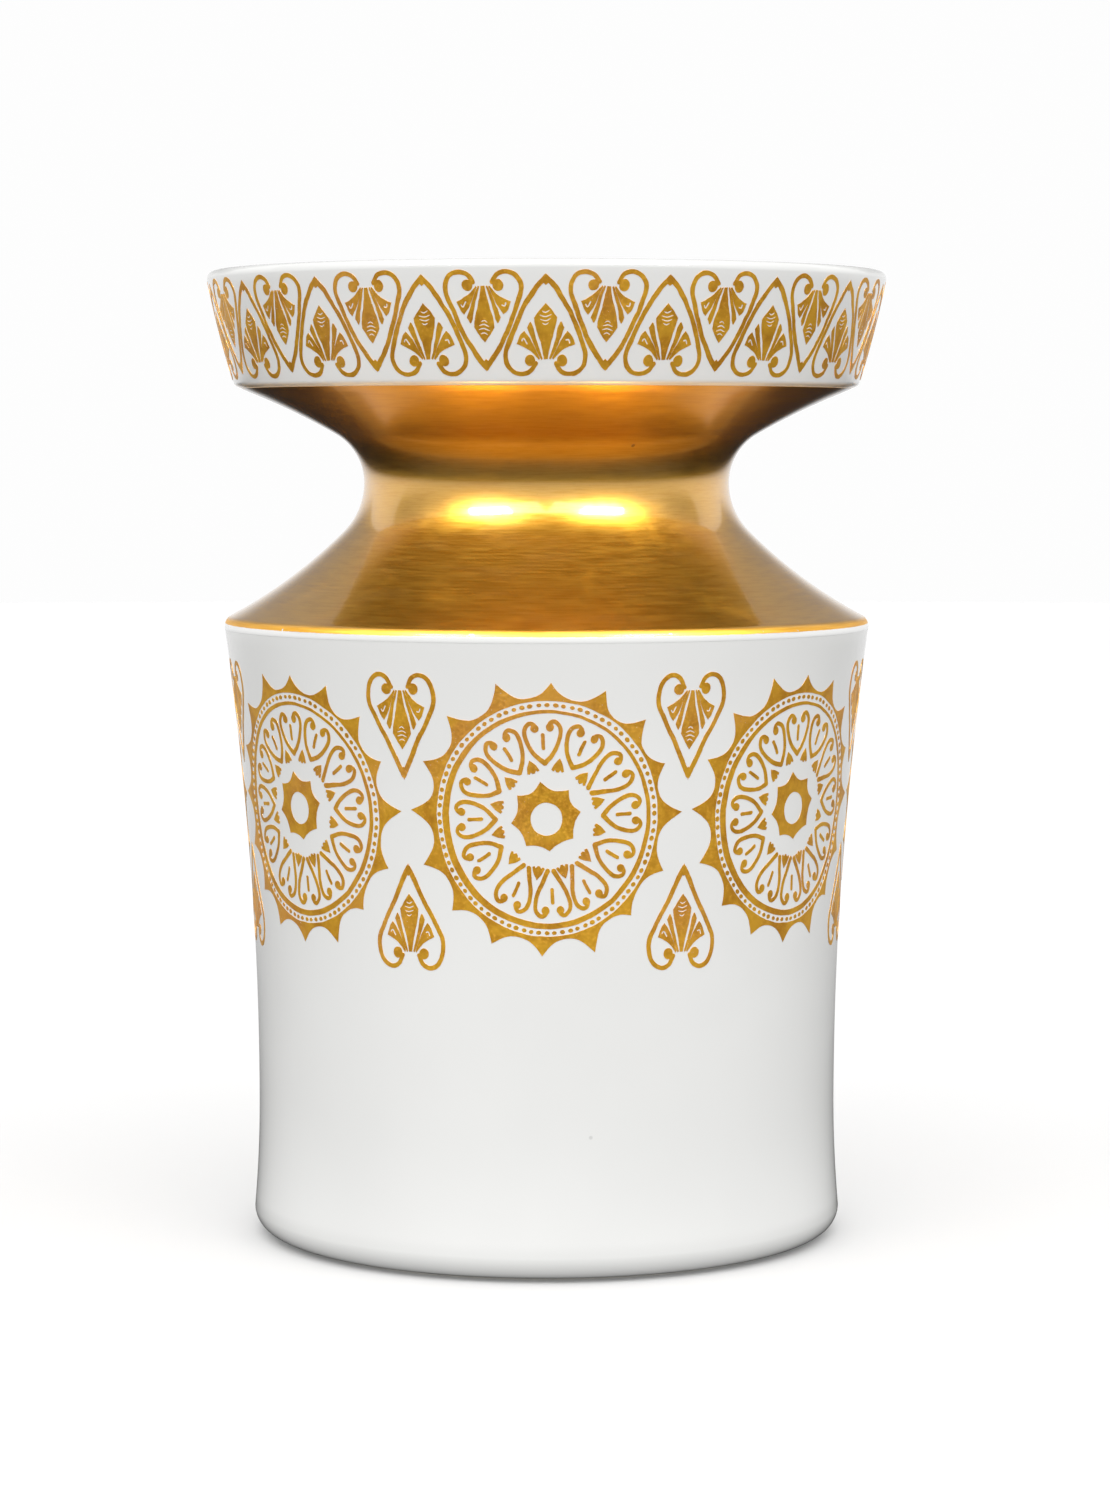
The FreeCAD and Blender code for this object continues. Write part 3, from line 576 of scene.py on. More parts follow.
def pen(line, width, start=1.0, end=1.0):
    """Return the outline of a pen line whose width may change towards its ends."""
    ways = np.gradient(line, axis=0)
    ways /= np.linalg.norm(ways, axis=1)[:, None] + 1e-12
    across = np.stack([-ways[:, 1], ways[:, 0]], axis=1)
    run = np.linspace(0, 1, len(line))
    half = width / 2 * np.interp(run, [0, 0.25, 0.8, 1], [start, 1, 1, end])[:, None]
    caps = []
    for place, way, side, reach in ((line[-1], ways[-1], across[-1], half[-1]),
                                    (line[0], -ways[0], -across[0], half[0])):
        caps.append([place + reach * (math.cos(a) * side + math.sin(a) * way)
                     for a in np.linspace(0.4, math.pi - 0.4, 4)])
    left, right = line + across * half, line - across * half
    return np.concatenate([left, caps[0], right[::-1], caps[1]])


def blot(x, y, across, up=None, turn=0.0, count=14):
    """Return an ellipse."""
    angles = np.arange(count) / count * TURN
    flat = np.stack([across * np.cos(angles), (up or across) * np.sin(angles)], axis=1)
    return moved(flat, x, y, turn)


def moved(points, x, y, turn=0.0):
    """Return points turned clockwise, in degrees, and moved."""
    c, s = math.cos(math.radians(turn)), math.sin(math.radians(turn))
    points = np.asarray(points, float)
    return np.stack([x + points[:, 0] * c + points[:, 1] * s,
                     y - points[:, 0] * s + points[:, 1] * c], axis=1)


def mirrored(points):
    """Return points reflected from left to right."""
    return np.asarray(points, float) * [-1, 1]


BODY_HEART = [(0, 0.035), (0.23, 0.19), (0.45, 0.355), (0.67, 0.49), (0.85, 0.61), (0.97, 0.70),
              (1.0, 0.80), (0.93, 0.91), (0.77, 0.98), (0.56, 1.0), (0.37, 0.965), (0.25, 0.885)]
FRIEZE_HEART = [(0, 0.03), (0.29, 0.17), (0.60, 0.385), (0.77, 0.54), (0.90, 0.67), (1.0, 0.80),
                (0.98, 0.90), (0.83, 0.975), (0.60, 1.0), (0.38, 0.97), (0.25, 0.895)]
WREATH_HEART = [(0, 0.03), (0.48, 0.22), (0.80, 0.44), (1.0, 0.70), (0.96, 0.87), (0.70, 0.985),
                (0.44, 0.95), (0.34, 0.86)]
OPEN_HEART = [(0.17, -0.06), (0.52, 0.21), (0.82, 0.44), (1.0, 0.70), (0.96, 0.87), (0.70, 0.985),
              (0.44, 0.95), (0.34, 0.86)]


def heart(shape, width, length, line, ball):
    """Return a heart's two pen lines and the ball in each curl, with its tip at the origin."""
    half, run = (width - line) / 2, length - line / 2
    arm = smooth_line([(x * half, y * run) for x, y in shape], 0.45)
    stroke = pen(arm, line, 1.15, 0.95)
    knob = blot(0.37 * half + 0.25 * ball, 0.865 * run, ball, 1.08 * ball)
    wedge = [(0, -0.2), (0.10 * half, 0.085 * run), (0, 0.12 * run), (-0.10 * half, 0.085 * run)]
    return [stroke, mirrored(stroke), knob, mirrored(knob), np.array(wedge)]


def closed_curve(*sides):
    """Return an outline made of smooth sides that meet in corners."""
    return np.concatenate([smooth_line(side, 0.5)[:-1] for side in sides])


def leaves(width, length):
    """Return the five leaves inside a heart, and the bare marks scratched in them."""
    w, n = width / 2, length

    def at(points):
        return [(x * w, y * n) for x, y in points]

    low = [(0, 0.28), (0.13, 0.345), (0.265, 0.425)]
    side = [(0.265, 0.425), (0.24, 0.50), (0.18, 0.59), (0.115, 0.685), (0.07, 0.77),
            (0.045, 0.835)]
    lozenge = closed_curve(at(low), at(side), at([(0.045, 0.835), (-0.045, 0.835)]),
                           *[at([(-x, y) for x, y in edge[::-1]]) for edge in (side, low)])
    finger = closed_curve(
        at([(0.075, 0.83), (0.145, 0.735), (0.225, 0.625), (0.285, 0.51)]),
        at([(0.285, 0.51), (0.35, 0.465), (0.43, 0.52)]),
        at([(0.43, 0.52), (0.335, 0.625), (0.22, 0.745), (0.11, 0.84)]),
        at([(0.11, 0.84), (0.075, 0.83)]))
    broad = closed_curve(
        at([(0.14, 0.825), (0.265, 0.71), (0.385, 0.615), (0.50, 0.55)]),
        at([(0.50, 0.55), (0.60, 0.595), (0.69, 0.68)]),
        at([(0.69, 0.68), (0.51, 0.715), (0.33, 0.765), (0.165, 0.84)]),
        at([(0.165, 0.84), (0.14, 0.825)]))
    scratches = []
    for up, reach in ((0.36, 0.08), (0.40, 0.13), (0.44, 0.12), (0.48, 0.07)):
        vein = smooth_line(at([(-reach, up), (0, up + 0.014), (reach, up - 0.004)]))
        scratches.append(pen(vein, 0.28, 0.5, 0.5))
    for fold in ([(0.47, 0.64), (0.53, 0.635), (0.56, 0.665)],
                 [(-0.44, 0.68), (-0.52, 0.63), (-0.57, 0.65)]):
        scratches.append(pen(smooth_line(at(fold)), 0.32))
    return [lozenge, finger, mirrored(finger), broad, mirrored(broad)], scratches


def palmette(shape, width, length, line, side):
    """Return the layers of a heart with its leaves, over its tip for 1 and under it for -1."""
    width, length, line = width / MM, length / MM, line / MM
    inner, scratches = leaves(width, length)
    return [([part * [1, side] for part in shapes], [part * [1, side] for part in bare])
            for shapes, bare in ((heart(shape, width, length, line, 1.3), []),
                                 (inner, scratches))]


def scallops(tips, valley, hollow, flat=0.0):
    """Return the outline of a sunburst from its tips as (radius, degrees), hollow between them.

    The hollows lie closer in, by up to flat, on the left and right than above and below."""
    outline = []
    for k, (reach, turn) in enumerate(tips):
        onward, after = tips[(k + 1) % len(tips)]
        after += 360.0 * (k + 1 == len(tips))
        for t in np.linspace(-1, 1, 17)[:-1]:
            tip = reach if t < 0 else onward
            angle = turn + (after - turn) * (t + 1) / 2
            low = valley - flat * math.sin(math.radians(angle)) ** 2
            radius = low + (tip - low) * abs(t) ** hollow
            outline.append(moved([(0, radius)], 0, 0, angle)[0])
    return np.array(outline)


# How far each of the sunburst's tips leans from even spacing, in degrees, clockwise from the top.
TIP_LEANS = (2.1, 1.4, -0.5, -2.0, -2.2, 1.5, 2.8, 1.8, 1.6, 1.5, 1.2, 1.9, 3.0, 2.3, 1.8, 3.2)
# How far each of them stands out beyond the even circle, in millimetres.
TIP_REACH = (-0.2, 0.7, 0.4, -1.7, 0.5, -1.2, -1.5, 1.3, 0.0, -0.1, -0.8, -0.5, 0.3, -0.5, 0.8, 1.5)
# How far the hearts of the wreath lean, and which of them are left open at the tip.
HEART_LEANS = (-4.0, -4.5, -4.0, -3.5, -2.0, -1.0, -3.0, -4.0, 0.4, -0.6, -1.5, -2.5)
OPEN_HEARTS = (2, 5, 6, 7)
# How many dots run round a medallion, and how many tips its star has.
DOTS, STAR_TIPS = 86, 8
# A bud of the wreath: two smooth sides and a ragged foot.
BUD = ([(-1.6, 0.1), (-1.05, 1.6), (0, 3.1)], [(0, 3.1), (1.05, 1.6), (1.6, 0.1)],
       [(1.6, 0.1), (1.1, -0.2), (0.75, 0.25)], [(0.75, 0.25), (0.3, -0.4)],
       [(0.3, -0.4), (-0.25, -0.35)], [(-0.25, -0.35), (-0.65, 0.2)],
       [(-0.65, 0.2), (-1.0, -0.25), (-1.6, 0.1)])


def ring_of_dots(tip):
    """Return the dots between a medallion's sunburst and its thin ring, not quite even."""
    dots = []
    for k in range(DOTS):
        turn = TURN * k / DOTS + 0.004 * math.sin(2.3 * k)
        size = 0.66 + 0.05 * math.sin(1.9 * k)
        x, y = (tip - 7.05) * math.sin(turn), (tip - 5.72) * math.cos(turn)
        dots.append(blot(0.25 + x, y, 0.95 * size, 0.80 * size, math.degrees(turn), 10))
    return dots


def wreath(fine):
    """Return the wreath of leaning hearts, each with a stroke inside, and the buds between them."""
    apart, parts = 360 / len(HEART_LEANS), []
    for k, lean in enumerate(HEART_LEANS):
        turn = apart * k + lean
        reach = 13.3 + 0.3 * math.sin(2.7 * k)
        foot = moved([(0, reach)], 0, 0, turn)[0]
        shape = OPEN_HEART if k in OPEN_HEARTS else WREATH_HEART
        width = 9.75 + 0.2 * math.sin(1.3 * k)
        petals = heart(shape, width, 24.1 - reach, fine, 1.0)[:4]
        petals.append(pen(smooth_line([(0.1 * math.sin(k), 3.9), (0, 5.6), (0, 7.2)]), 0.9))
        parts += [moved(petal, *foot, turn) for petal in petals]
        onward = HEART_LEANS[(k + 1) % len(HEART_LEANS)]
        between = turn + apart / 2 + 0.5 * (onward - lean)
        parts.append(moved(closed_curve(*BUD), *moved([(0, 11.9)], 0, 0, between)[0], between))
    return [part * [0.965, 1.015] + [0.6, 0.05] for part in parts]


def medallion(ornament):
    """Return a medallion's gilt shapes and the bare shapes cut out of them.

    Its rings are a little narrower than they are high, and none is quite in the middle."""
    tip = ornament.medallion_radius / MM
    tips = [(tip + more, 360 / len(TIP_LEANS) * k + lean)
            for k, (more, lean) in enumerate(zip(TIP_REACH, TIP_LEANS))]
    burst = scallops(tips, valley=tip - 3.8, hollow=2.5, flat=1.4)
    burst_hole = blot(0.35, 0.1, across=tip - 6.3, up=tip - 4.75, count=200)
    ring = blot(0.15, -0.1, across=tip - 7.9, up=tip - 6.8, count=180)
    ring_hole = blot(0.45, 0.2, across=tip - 9.3, up=tip - 7.95, count=160)
    star_tips = [(8.6 + 0.4 * math.cos(0.8 * k), 360 / STAR_TIPS * k - 8.5 + 2 * math.sin(2.1 * k))
                 for k in range(STAR_TIPS)]
    star = moved(scallops(star_tips, valley=7.1, hollow=2.2), 0, 0.35)
    star_hole = blot(0.15, 0.1, across=3.85, up=4.1, count=36)
    return [([burst], [burst_hole]), ([ring], [ring_hole]), (ring_of_dots(tip), []),
            ([star], [star_hole]), (wreath(ornament.fine_line / MM), [])]


def inside(shape, points):
    """Return which points lie inside an outline that may cross itself."""
    low, high = shape.min(0), shape.max(0)
    near = np.flatnonzero(((points >= low) & (points <= high)).all(1))
    if not len(near):
        return near
    x, y = points[near, 0][:, None], points[near, 1][:, None]
    a, b = shape, np.roll(shape, -1, axis=0)
    side = (b[:, 0] - a[:, 0]) * (y - a[:, 1]) - (x - a[:, 0]) * (b[:, 1] - a[:, 1])
    up = (a[:, 1] <= y) & (b[:, 1] > y) & (side > 0)
    down = (a[:, 1] > y) & (b[:, 1] <= y) & (side < 0)
    return near[(up.sum(1) - down.sum(1)) != 0]


def covered(layers, points):
    """Return whether each point lies in the gilt part of any layer."""
    gilt = np.zeros(len(points), bool)
    for shapes, bare in layers:
        layer = np.zeros(len(points), bool)
        for shape in shapes:
            layer[inside(shape, points)] = True
        for shape in bare:
            layer[inside(shape, points)] = False
        gilt |= layer
    return gilt


# Without a fixed seed the noise that moves the drawn edges would start from the time of day.
HAND_SEED = 11


def strayed(points, wander):
    """Return drawn points moved a little, as a hand or a worn print moves them."""
    noise.seed_set(HAND_SEED)
    out = []
    for x, y in points:
        slow = noise.noise_vector(Vector((x, y, 3.1)) / 4.3)
        quick = noise.noise_vector(Vector((x, y, 7.7)) / 0.9)
        out.append((x + wander * (slow.x + 0.42 * quick.x), y + wander * (slow.y + 0.42 * quick.y)))
    return np.array(out)


def doubled_areas(spots, faces):
    """Return twice the area of flat triangles, below 0 for clockwise ones."""
    a, b, c = spots[faces].transpose(1, 0, 2)
    return (b[:, 0] - a[:, 0]) * (c[:, 1] - a[:, 1]) - (c[:, 0] - a[:, 0]) * (b[:, 1] - a[:, 1])


def transfer(name, layers, ornament, fill=1.7):
    """Return a thin closed sheet cut to the gilt shapes, flat, in metres.

    Its vertices hold the distance round the vase, the height over the wall and the distance up.
    Inside the outlines it has a point about every fill millimetres, so that it can bend."""
    wander = ornament.wander / MM
    layers = [([strayed(s, wander) for s in shapes], [strayed(s, wander) for s in bare])
              for shapes, bare in layers]
    outlines = [s for shapes, bare in layers for s in shapes + bare]
    points, edges = [], []
    for outline in outlines:
        first = len(points)
        points += [tuple(p) for p in outline]
        edges += [(first + k, first + (k + 1) % len(outline)) for k in range(len(outline))]
    every = np.array(points)
    low, high = every.min(0), every.max(0)
    grid = np.array([(x + 0.5 * fill * (row % 2), y)
                     for row, y in enumerate(np.arange(low[1], high[1], 0.87 * fill))
                     for x in np.arange(low[0], high[0], fill)])
    grid = grid[covered(layers, grid)]
    gap = np.array([np.hypot(*(every - p).T).min() for p in grid]) if len(grid) else grid
    points += [tuple(p) for p in grid[gap > 0.45 * fill]] if len(grid) else []

    spots, _, faces, *_ = geometry.delaunay_2d_cdt(
        [Vector(p) for p in points], edges, [], 0, 1e-5)
    spots = np.array([tuple(p) for p in spots])
    faces = np.array(faces)
    a, b, c = spots[faces].transpose(1, 0, 2)
    real = np.abs(doubled_areas(spots, faces)) > 1e-7
    faces = faces[covered(layers, (a + b + c) / 3) & real]
    used, faces = np.unique(faces, return_inverse=True)
    return sheet_mesh(name, spots[used] * MM, faces.reshape(-1, 3), ornament.relief)


def sheet_mesh(name, spots, faces, relief):
    """Return a closed sheet with sharp edges made from flat triangles.

    X runs round the vase, Z up it, and Y out from the wall, in which the sheet is sunk a little."""
    faces = np.where(doubled_areas(spots, faces)[:, None] > 0, faces, faces[:, ::-1])
    sides = dict.fromkeys((face[k], face[(k + 1) % 3]) for face in faces.tolist() for k in range(3))
    rim = [edge for edge in sides if edge[::-1] not in sides]
    count = len(spots)
    top = [(x, relief, z) for x, z in spots]
    bottom = [(x, -0.6 * relief, z) for x, z in spots]
    walls = [(j, i, i + count, j + count) for i, j in rim]
    mesh = bpy.data.meshes.new(name)
    mesh.from_pydata(top + bottom, [], faces.tolist() + (faces[:, ::-1] + count).tolist() + walls)
    mesh.validate()
    borders = {tuple(sorted(edge)) for edge in rim}
    borders |= {(i + count, j + count) for i, j in borders}
    for edge in mesh.edges:
        edge.use_edge_sharp = tuple(sorted(edge.vertices)) in borders
    for face in mesh.polygons:
        face.use_smooth = True
    return mesh


def wrapping_tree():
    """Return the tree that repeats a flat sheet round the vase and lays it on the turned wall."""
    tree = bpy.data.node_groups.new("Laid Round The Wall", "GeometryNodeTree")
    face = tree.interface
    face.new_socket("Sheet", in_out="INPUT", socket_type="NodeSocketGeometry")
    face.new_socket("Count", in_out="INPUT", socket_type="NodeSocketInt")
    for name in ("First", "Reach", "Height", "Arc Centre", "Arc Height", "Arc Radius", "Fullness",
                 "Unevenness"):
        face.new_socket(name, in_out="INPUT", socket_type="NodeSocketFloat")
    face.new_socket("Finish", in_out="INPUT", socket_type="NodeSocketMaterial")
    face.new_socket("Laid", in_out="OUTPUT", socket_type="NodeSocketGeometry")
    g = Graph(tree)
    sheet = g.node("NodeGroupInput")
    count, reach = sheet.also("Count"), sheet.also("Reach")
    pitch_round = reach * TURN / count
    points = g.node("GeometryNodePoints", None, {
        "Count": count,
        "Position": g.vector((g.node("GeometryNodeInputIndex") + sheet.also("First")) * pitch_round,
                             0.0, 0.0)})
    copies = g.node("GeometryNodeInstanceOnPoints", None, {"Points": points, "Instance": sheet})
    whole = g.node("GeometryNodeRealizeInstances", None, {"Geometry": copies})

    place = g.node("GeometryNodeInputPosition")
    stray = g.node("ShaderNodeTexNoise", None, {"Vector": place, "Scale": 260.0, "Detail": 1.0},
                   output="Color")
    for operation, other in (("SUBTRACT", (0.5, 0.5, 0.5)), ("MULTIPLY", (1.0, 0.0, 1.0))):
        stray = g.node("ShaderNodeVectorMath", {"operation": operation}, {0: stray, 1: other})
    stray = g.node("ShaderNodeVectorMath", {"operation": "SCALE"},
                   {0: stray, "Scale": sheet.also("Unevenness")})
    drawn = g.node("GeometryNodeSetPosition", None, {"Geometry": whole, "Offset": stray})

    parts = g.node("ShaderNodeSeparateXYZ", None, {0: g.node("GeometryNodeInputPosition")})
    around, proud, up = parts, parts.also(1), parts.also(2) + sheet.also("Height")
    rise = up - sheet.also("Arc Height")
    radius = sheet.also("Arc Radius")
    bulge = g.maths("SQRT", radius * radius - rise * rise)
    out = sheet.also("Arc Centre") + sheet.also("Fullness") * bulge + proud
    angle = around / reach
    laid = g.vector(out * g.maths("SINE", angle), out * g.maths("COSINE", angle) * -1.0, up)
    wrapped = g.node("GeometryNodeSetPosition", None, {"Geometry": drawn, "Position": laid})
    dressed = g.node("GeometryNodeSetMaterial", None,
                     {"Geometry": wrapped, "Material": sheet.also("Finish")})
    g.node("NodeGroupOutput", None, {0: dressed})
    return tree


def laid_round(name, layers, ornament, curve, count, first, up, middle, finish, uneven=0.0):
    """Return a motif repeated round the vase, from a place counted in motifs from the front.

    Lengths are true at the height called middle."""
    sheet = transfer(name, layers, ornament)
    tree = bpy.data.node_groups.get("Laid Round The Wall") or wrapping_tree()
    centre, height, radius, fullness = curve
    return settled(name, sheet, tree, {
        "Count": count, "First": first, "Reach": reach_at(curve, middle), "Height": up,
        "Arc Centre": centre, "Arc Height": height, "Arc Radius": radius, "Fullness": fullness,
        "Unevenness": uneven, "Finish": finish})


# ---------------------------------------------------------------- finishes

def glaze(finish):
    """White porcelain under a clear glossy glaze, with faint waves and a few specks."""
    f = Finish("Glazed porcelain", Roughness=0.11, IOR=1.52, Coat_Weight=0.35, Coat_Roughness=0.04)
    place = f.place()
    tone = Vector(finish.glaze)
    cloud, smear = f.grain(place, 14.0), f.grain(place, 60.0, 4.0)
    specks = f.spots(place, 46.0, 0.012, 0.03)
    shade = f.blend(f.between(cloud, 0.3, 0.7), tone, tone * 0.965)
    f.feed("Base Color", f.blend(specks * 0.35, shade, tone * 0.45))
    f.feed("Roughness", 0.095 + 0.05 * f.between(smear, 0.35, 0.75))
    waves, ripple = f.grain(place, 34.0, 1.0), f.grain(place, 900.0, 1.0)
    f.feed("Normal", f.bump(waves + 0.02 * ripple, 0.00045, 0.35))
    return f.material


def bare_clay(finish):
    """Unglazed porcelain, ground flat: matt and faintly gritty."""
    f = Finish("Bare porcelain", Roughness=0.8, IOR=1.45)
    place = f.place()
    tone = Vector(finish.biscuit)
    grit, stain = f.grain(place, 2600.0, 4.0, 0.6), f.grain(place, 60.0, 4.0)
    shade = f.blend(f.between(stain, 0.35, 0.75), tone, tone * 0.78)
    f.feed("Base Color", f.blend(f.between(grit, 0.55, 0.75) * 0.4, shade, tone * 0.55))
    f.feed("Roughness", 0.7 + 0.2 * grit)
    f.feed("Normal", f.bump(grit, 0.00008, 0.8))
    return f.material


# Heights over the shoulder's line, where the gilding has worn: it is bare up to the first, its
# chips end between the second and the third, and it thickens between the third and the last.
GOLD_BARE, GOLD_CHIPPED, GOLD_THIN, GOLD_FULL = 0.0014, 0.0017, 0.0022, 0.0034


def burnished_gold(finish, form):
    """Gilding brushed on round the neck and rubbed up: fine marks round the vase, rubs and pits."""
    f = Finish("Burnished gold", Coat_Weight=1.0, Coat_Roughness=0.09, Coat_IOR=1.8)
    place = f.place()
    z, drawn = f.round_vase(7.0, 2600.0)
    streaks = f.grain(drawn, 1.0, 4.0, 0.62)
    broad = f.grain(f.round_vase(2.2, 190.0)[1], 1.0, 4.0, 0.6)
    cloud = f.grain(place, 60.0, 4.0, 0.6)
    fleck = f.grain(place, 1500.0, 3.0, 0.7)
    tone = Vector(finish.burnished)
    deep = Vector((tone.x * 0.92, tone.y * 0.84, tone.z * 0.6))
    pale = Vector((min(1, tone.x * 1.10), tone.y * 1.18, tone.z * 2.2))
    shade = f.blend(f.between(streaks, 0.30, 0.62), deep, tone)
    shade = f.blend(f.between(broad, 0.48, 0.72) * 0.4, shade, pale)
    shade = f.blend(f.between(cloud, 0.50, 0.78) * 0.45, shade, deep)
    shade = f.blend(f.between(fleck, 0.60, 0.74) * 0.25, shade, deep * 0.7)
    pits = f.spots(place, 55.0, 0.018, 0.034)
    shade = f.blend(pits * 0.7, shade, (0.30, 0.13, 0.03))

    low, ragged = form.shoulder_height, f.grain(place, 420.0, 3.0, 0.6)
    bare = 1.0 - f.between(z + (ragged - 0.5) * 0.0003, low + GOLD_BARE, low + GOLD_BARE + 0.0001)
    whole = f.between(z, low + GOLD_CHIPPED, low + GOLD_THIN + 0.0001)
    chips = f.between(ragged, 0.68, 0.70) * (1.0 - whole)
    gone = f.maths("MAXIMUM", bare, chips)
    thin = 1.0 - f.between(z, low + GOLD_THIN, low + GOLD_FULL)
    f.feed("Base Color", f.blend(gone, shade, finish.glaze))
    f.feed("Metallic", 0.98 - 0.98 * gone)
    rough = finish.burnish - 0.02 + 0.06 * f.between(streaks, 0.35, 0.75)
    rough = rough + 0.08 * f.between(cloud, 0.5, 0.8) + 0.15 * thin
    f.feed("Roughness", rough + (0.12 - rough) * gone)
    f.feed("Coat Weight", 1.0 - 0.9 * thin * (1.0 - gone))

    marks = f.bump(streaks, 0.00001, 0.5)
    waves = f.bump(f.grain(f.round_vase(1.6, 60.0)[1], 1.0, 2.0), 0.0002, 0.3, marks)
    f.feed("Normal", f.bump(pits, -0.0001, 0.8, waves))
    return f.material


def printed_gold(finish):
    """Gold printed and fired on the glaze: satin, mottled, thin in places."""
    f = Finish("Printed gold", Metallic=0.6)
    place = f.place()
    mottle = f.grain(place, 150.0, 4.0, 0.6)
    fine = f.grain(place, 1400.0, 4.0, 0.65)
    patch = f.grain(place, 30.0, 2.0)
    worn = f.grain(place, 2300.0, 2.0, 0.6)
    tone = Vector(finish.printed)
    deep = Vector((tone.x * 0.74, tone.y * 0.62, tone.z * 0.45))
    pale = Vector((min(1, tone.x * 1.14), tone.y * 1.18, tone.z * 2.2))
    rosy = Vector((tone.x * 1.1, tone.y * 0.92, tone.z * 4.0))
    shade = f.blend(f.between(mottle, 0.35, 0.70), tone, deep)
    shade = f.blend(f.between(fine, 0.52, 0.72) * 0.45, shade, pale)
    shade = f.blend(f.between(patch, 0.52, 0.68) * 0.35, shade, rosy)
    rubbed = f.between(worn, 0.69, 0.75) * f.between(patch, 0.50, 0.62)
    f.feed("Base Color", f.blend(rubbed * 0.8, shade, (0.80, 0.78, 0.74)))
    f.feed("Metallic", 0.60 - rubbed * 0.5)
    f.feed("Roughness", finish.satin - 0.06 + 0.18 * f.between(fine, 0.3, 0.7))
    f.feed("Normal", f.bump(fine + 0.6 * mottle, 0.00003, 0.7))
    return f.material


def kept(name, make, *settings):
    """Return a finish, made once."""
    return bpy.data.materials.get(name) or make(*settings)


# ---------------------------------------------------------------- stage

LAMP_TARGET = Vector((0.0, 0.0, 0.19))
LAMP_TINT = (1.0, 0.97, 0.92)


def soft_light(name, azimuth, elevation, distance, size, power):
    """Add a soft rectangular light that faces the neck.

    Azimuth is measured from the front, positive to the right, in degrees."""
    a, e = math.radians(azimuth), math.radians(elevation)
    away = Vector((math.sin(a) * math.cos(e), -math.cos(a) * math.cos(e), math.sin(e)))
    data = bpy.data.lights.new(name, "AREA")
    data.shape, data.size, data.size_y = "RECTANGLE", size[0], size[1]
    data.energy, data.color = power, LAMP_TINT
    lamp = bpy.data.objects.new(name, data)
    lamp.location = LAMP_TARGET + distance * away
    lamp.rotation_euler = (-away).to_track_quat("-Z", "Y").to_euler()
    lamp.visible_camera = lamp.visible_diffuse = False
    bpy.context.scene.collection.objects.link(lamp)


def diffuse_sky(g, up, front):
    """Return the light on dull surfaces: brighter from above and in front, pale from the table."""
    above = g.maths("MAXIMUM", up, 0.0)
    sky = 0.62 + 0.84 * g.maths("MAXIMUM", front, 0.0) + 1.15 * above * above
    table = g.between(up, -0.85, -0.30) * (1.02 + 0.13 * front)
    return table + (sky - table) * g.between(up, -0.01, 0.01)


def mirrored_room(g, up, front, side, glow):
    """Return the room as glossy surfaces show it.

    It is dim, with a pale table, more so in front, a glow low down behind the vase, and to the
    left and right of that a window, each a triangle that stands on the horizon."""
    facing = g.between(front, -0.5, 0.6)
    room = (0.02 + 0.10 * facing + g.between(up, -0.16, -0.02) * (0.28 + 0.38 * facing)
            + 0.12 * g.between(up, 0.3, 0.9))
    behind = g.between(up, -0.20, -0.09) * (1.0 - g.between(up, 0.05, 0.30))
    room = room + 0.62 * (1.0 - facing) * behind
    sill = g.between(up, -0.01, 0.01)
    upright = g.between(0.643 * front + 0.766 * side, -0.015, 0.015)
    slanted = g.between(-(0.058 * side) - 0.711 * front - 0.473 * up, -0.02, 0.03)
    return room + (glow - room) * (sill * upright * slanted)


def studio_world(stage):
    """Make a pale surround: white to the eye, a soft sky for light and a room in reflections."""
    world = bpy.data.worlds.new("Studio")
    world.use_nodes = True
    world.node_tree.nodes.clear()
    g = Graph(world.node_tree)
    way = g.node("ShaderNodeTexCoord", output="Generated")
    parts = g.node("ShaderNodeSeparateXYZ", None, {0: way})
    up, front, side = parts.also(2), -parts.also(1), g.maths("ABSOLUTE", parts)
    level = diffuse_sky(g, up, front)
    room = mirrored_room(g, up, front, side, stage.window_glow)
    path = g.node("ShaderNodeLightPath")
    level = level + (room - level) * path.also("Is Glossy Ray")
    level = level + (0.985 - level) * path.also("Is Camera Ray")
    light = g.node("ShaderNodeBackground", None, {"Color": (1, 1, 1, 1), "Strength": level})
    g.node("ShaderNodeOutputWorld", None, {0: light})
    return world


def paper_floor(stage):
    """Return a wide round sheet of pale paper to stand the vase on."""
    paper = Finish("Pale paper", Roughness=0.9)
    tone = Vector(stage.floor)
    cloud = paper.between(paper.grain(paper.place(), 3.0, 2.0), 0.3, 0.7)
    paper.feed("Base Color", paper.blend(cloud, tone, tone * 0.99))
    sides, reach = 64, 4.0
    ring = [(reach * math.cos(a), reach * math.sin(a), 0.0)
            for a in np.linspace(0, TURN, sides, endpoint=False)]
    sheet = bpy.data.meshes.new("floor")
    sheet.from_pydata(ring, [], [tuple(range(sides))])
    sheet.materials.append(paper.material)
    floor = bpy.data.objects.new("floor", sheet)
    floor.visible_glossy = floor.visible_diffuse = False
    bpy.context.scene.collection.objects.link(floor)
    return floor


def front_camera():
    """Return the camera: a long lens in front, a little below the rim, looking slightly down."""
    lens = bpy.data.cameras.new("camera")
    lens.lens, lens.sensor_width, lens.sensor_fit = 97.1, 36.0, "AUTO"
    lens.clip_start, lens.clip_end = 0.05, 50.0
    camera = bpy.data.objects.new("camera", lens)
    camera.location = (0.0022, -1.0557, 0.2083)
    camera.rotation_euler = (math.radians(90 - 4.47), 0.0, 0.0)
    bpy.context.scene.collection.objects.link(camera)
    return camera


# ---------------------------------------------------------------- operators

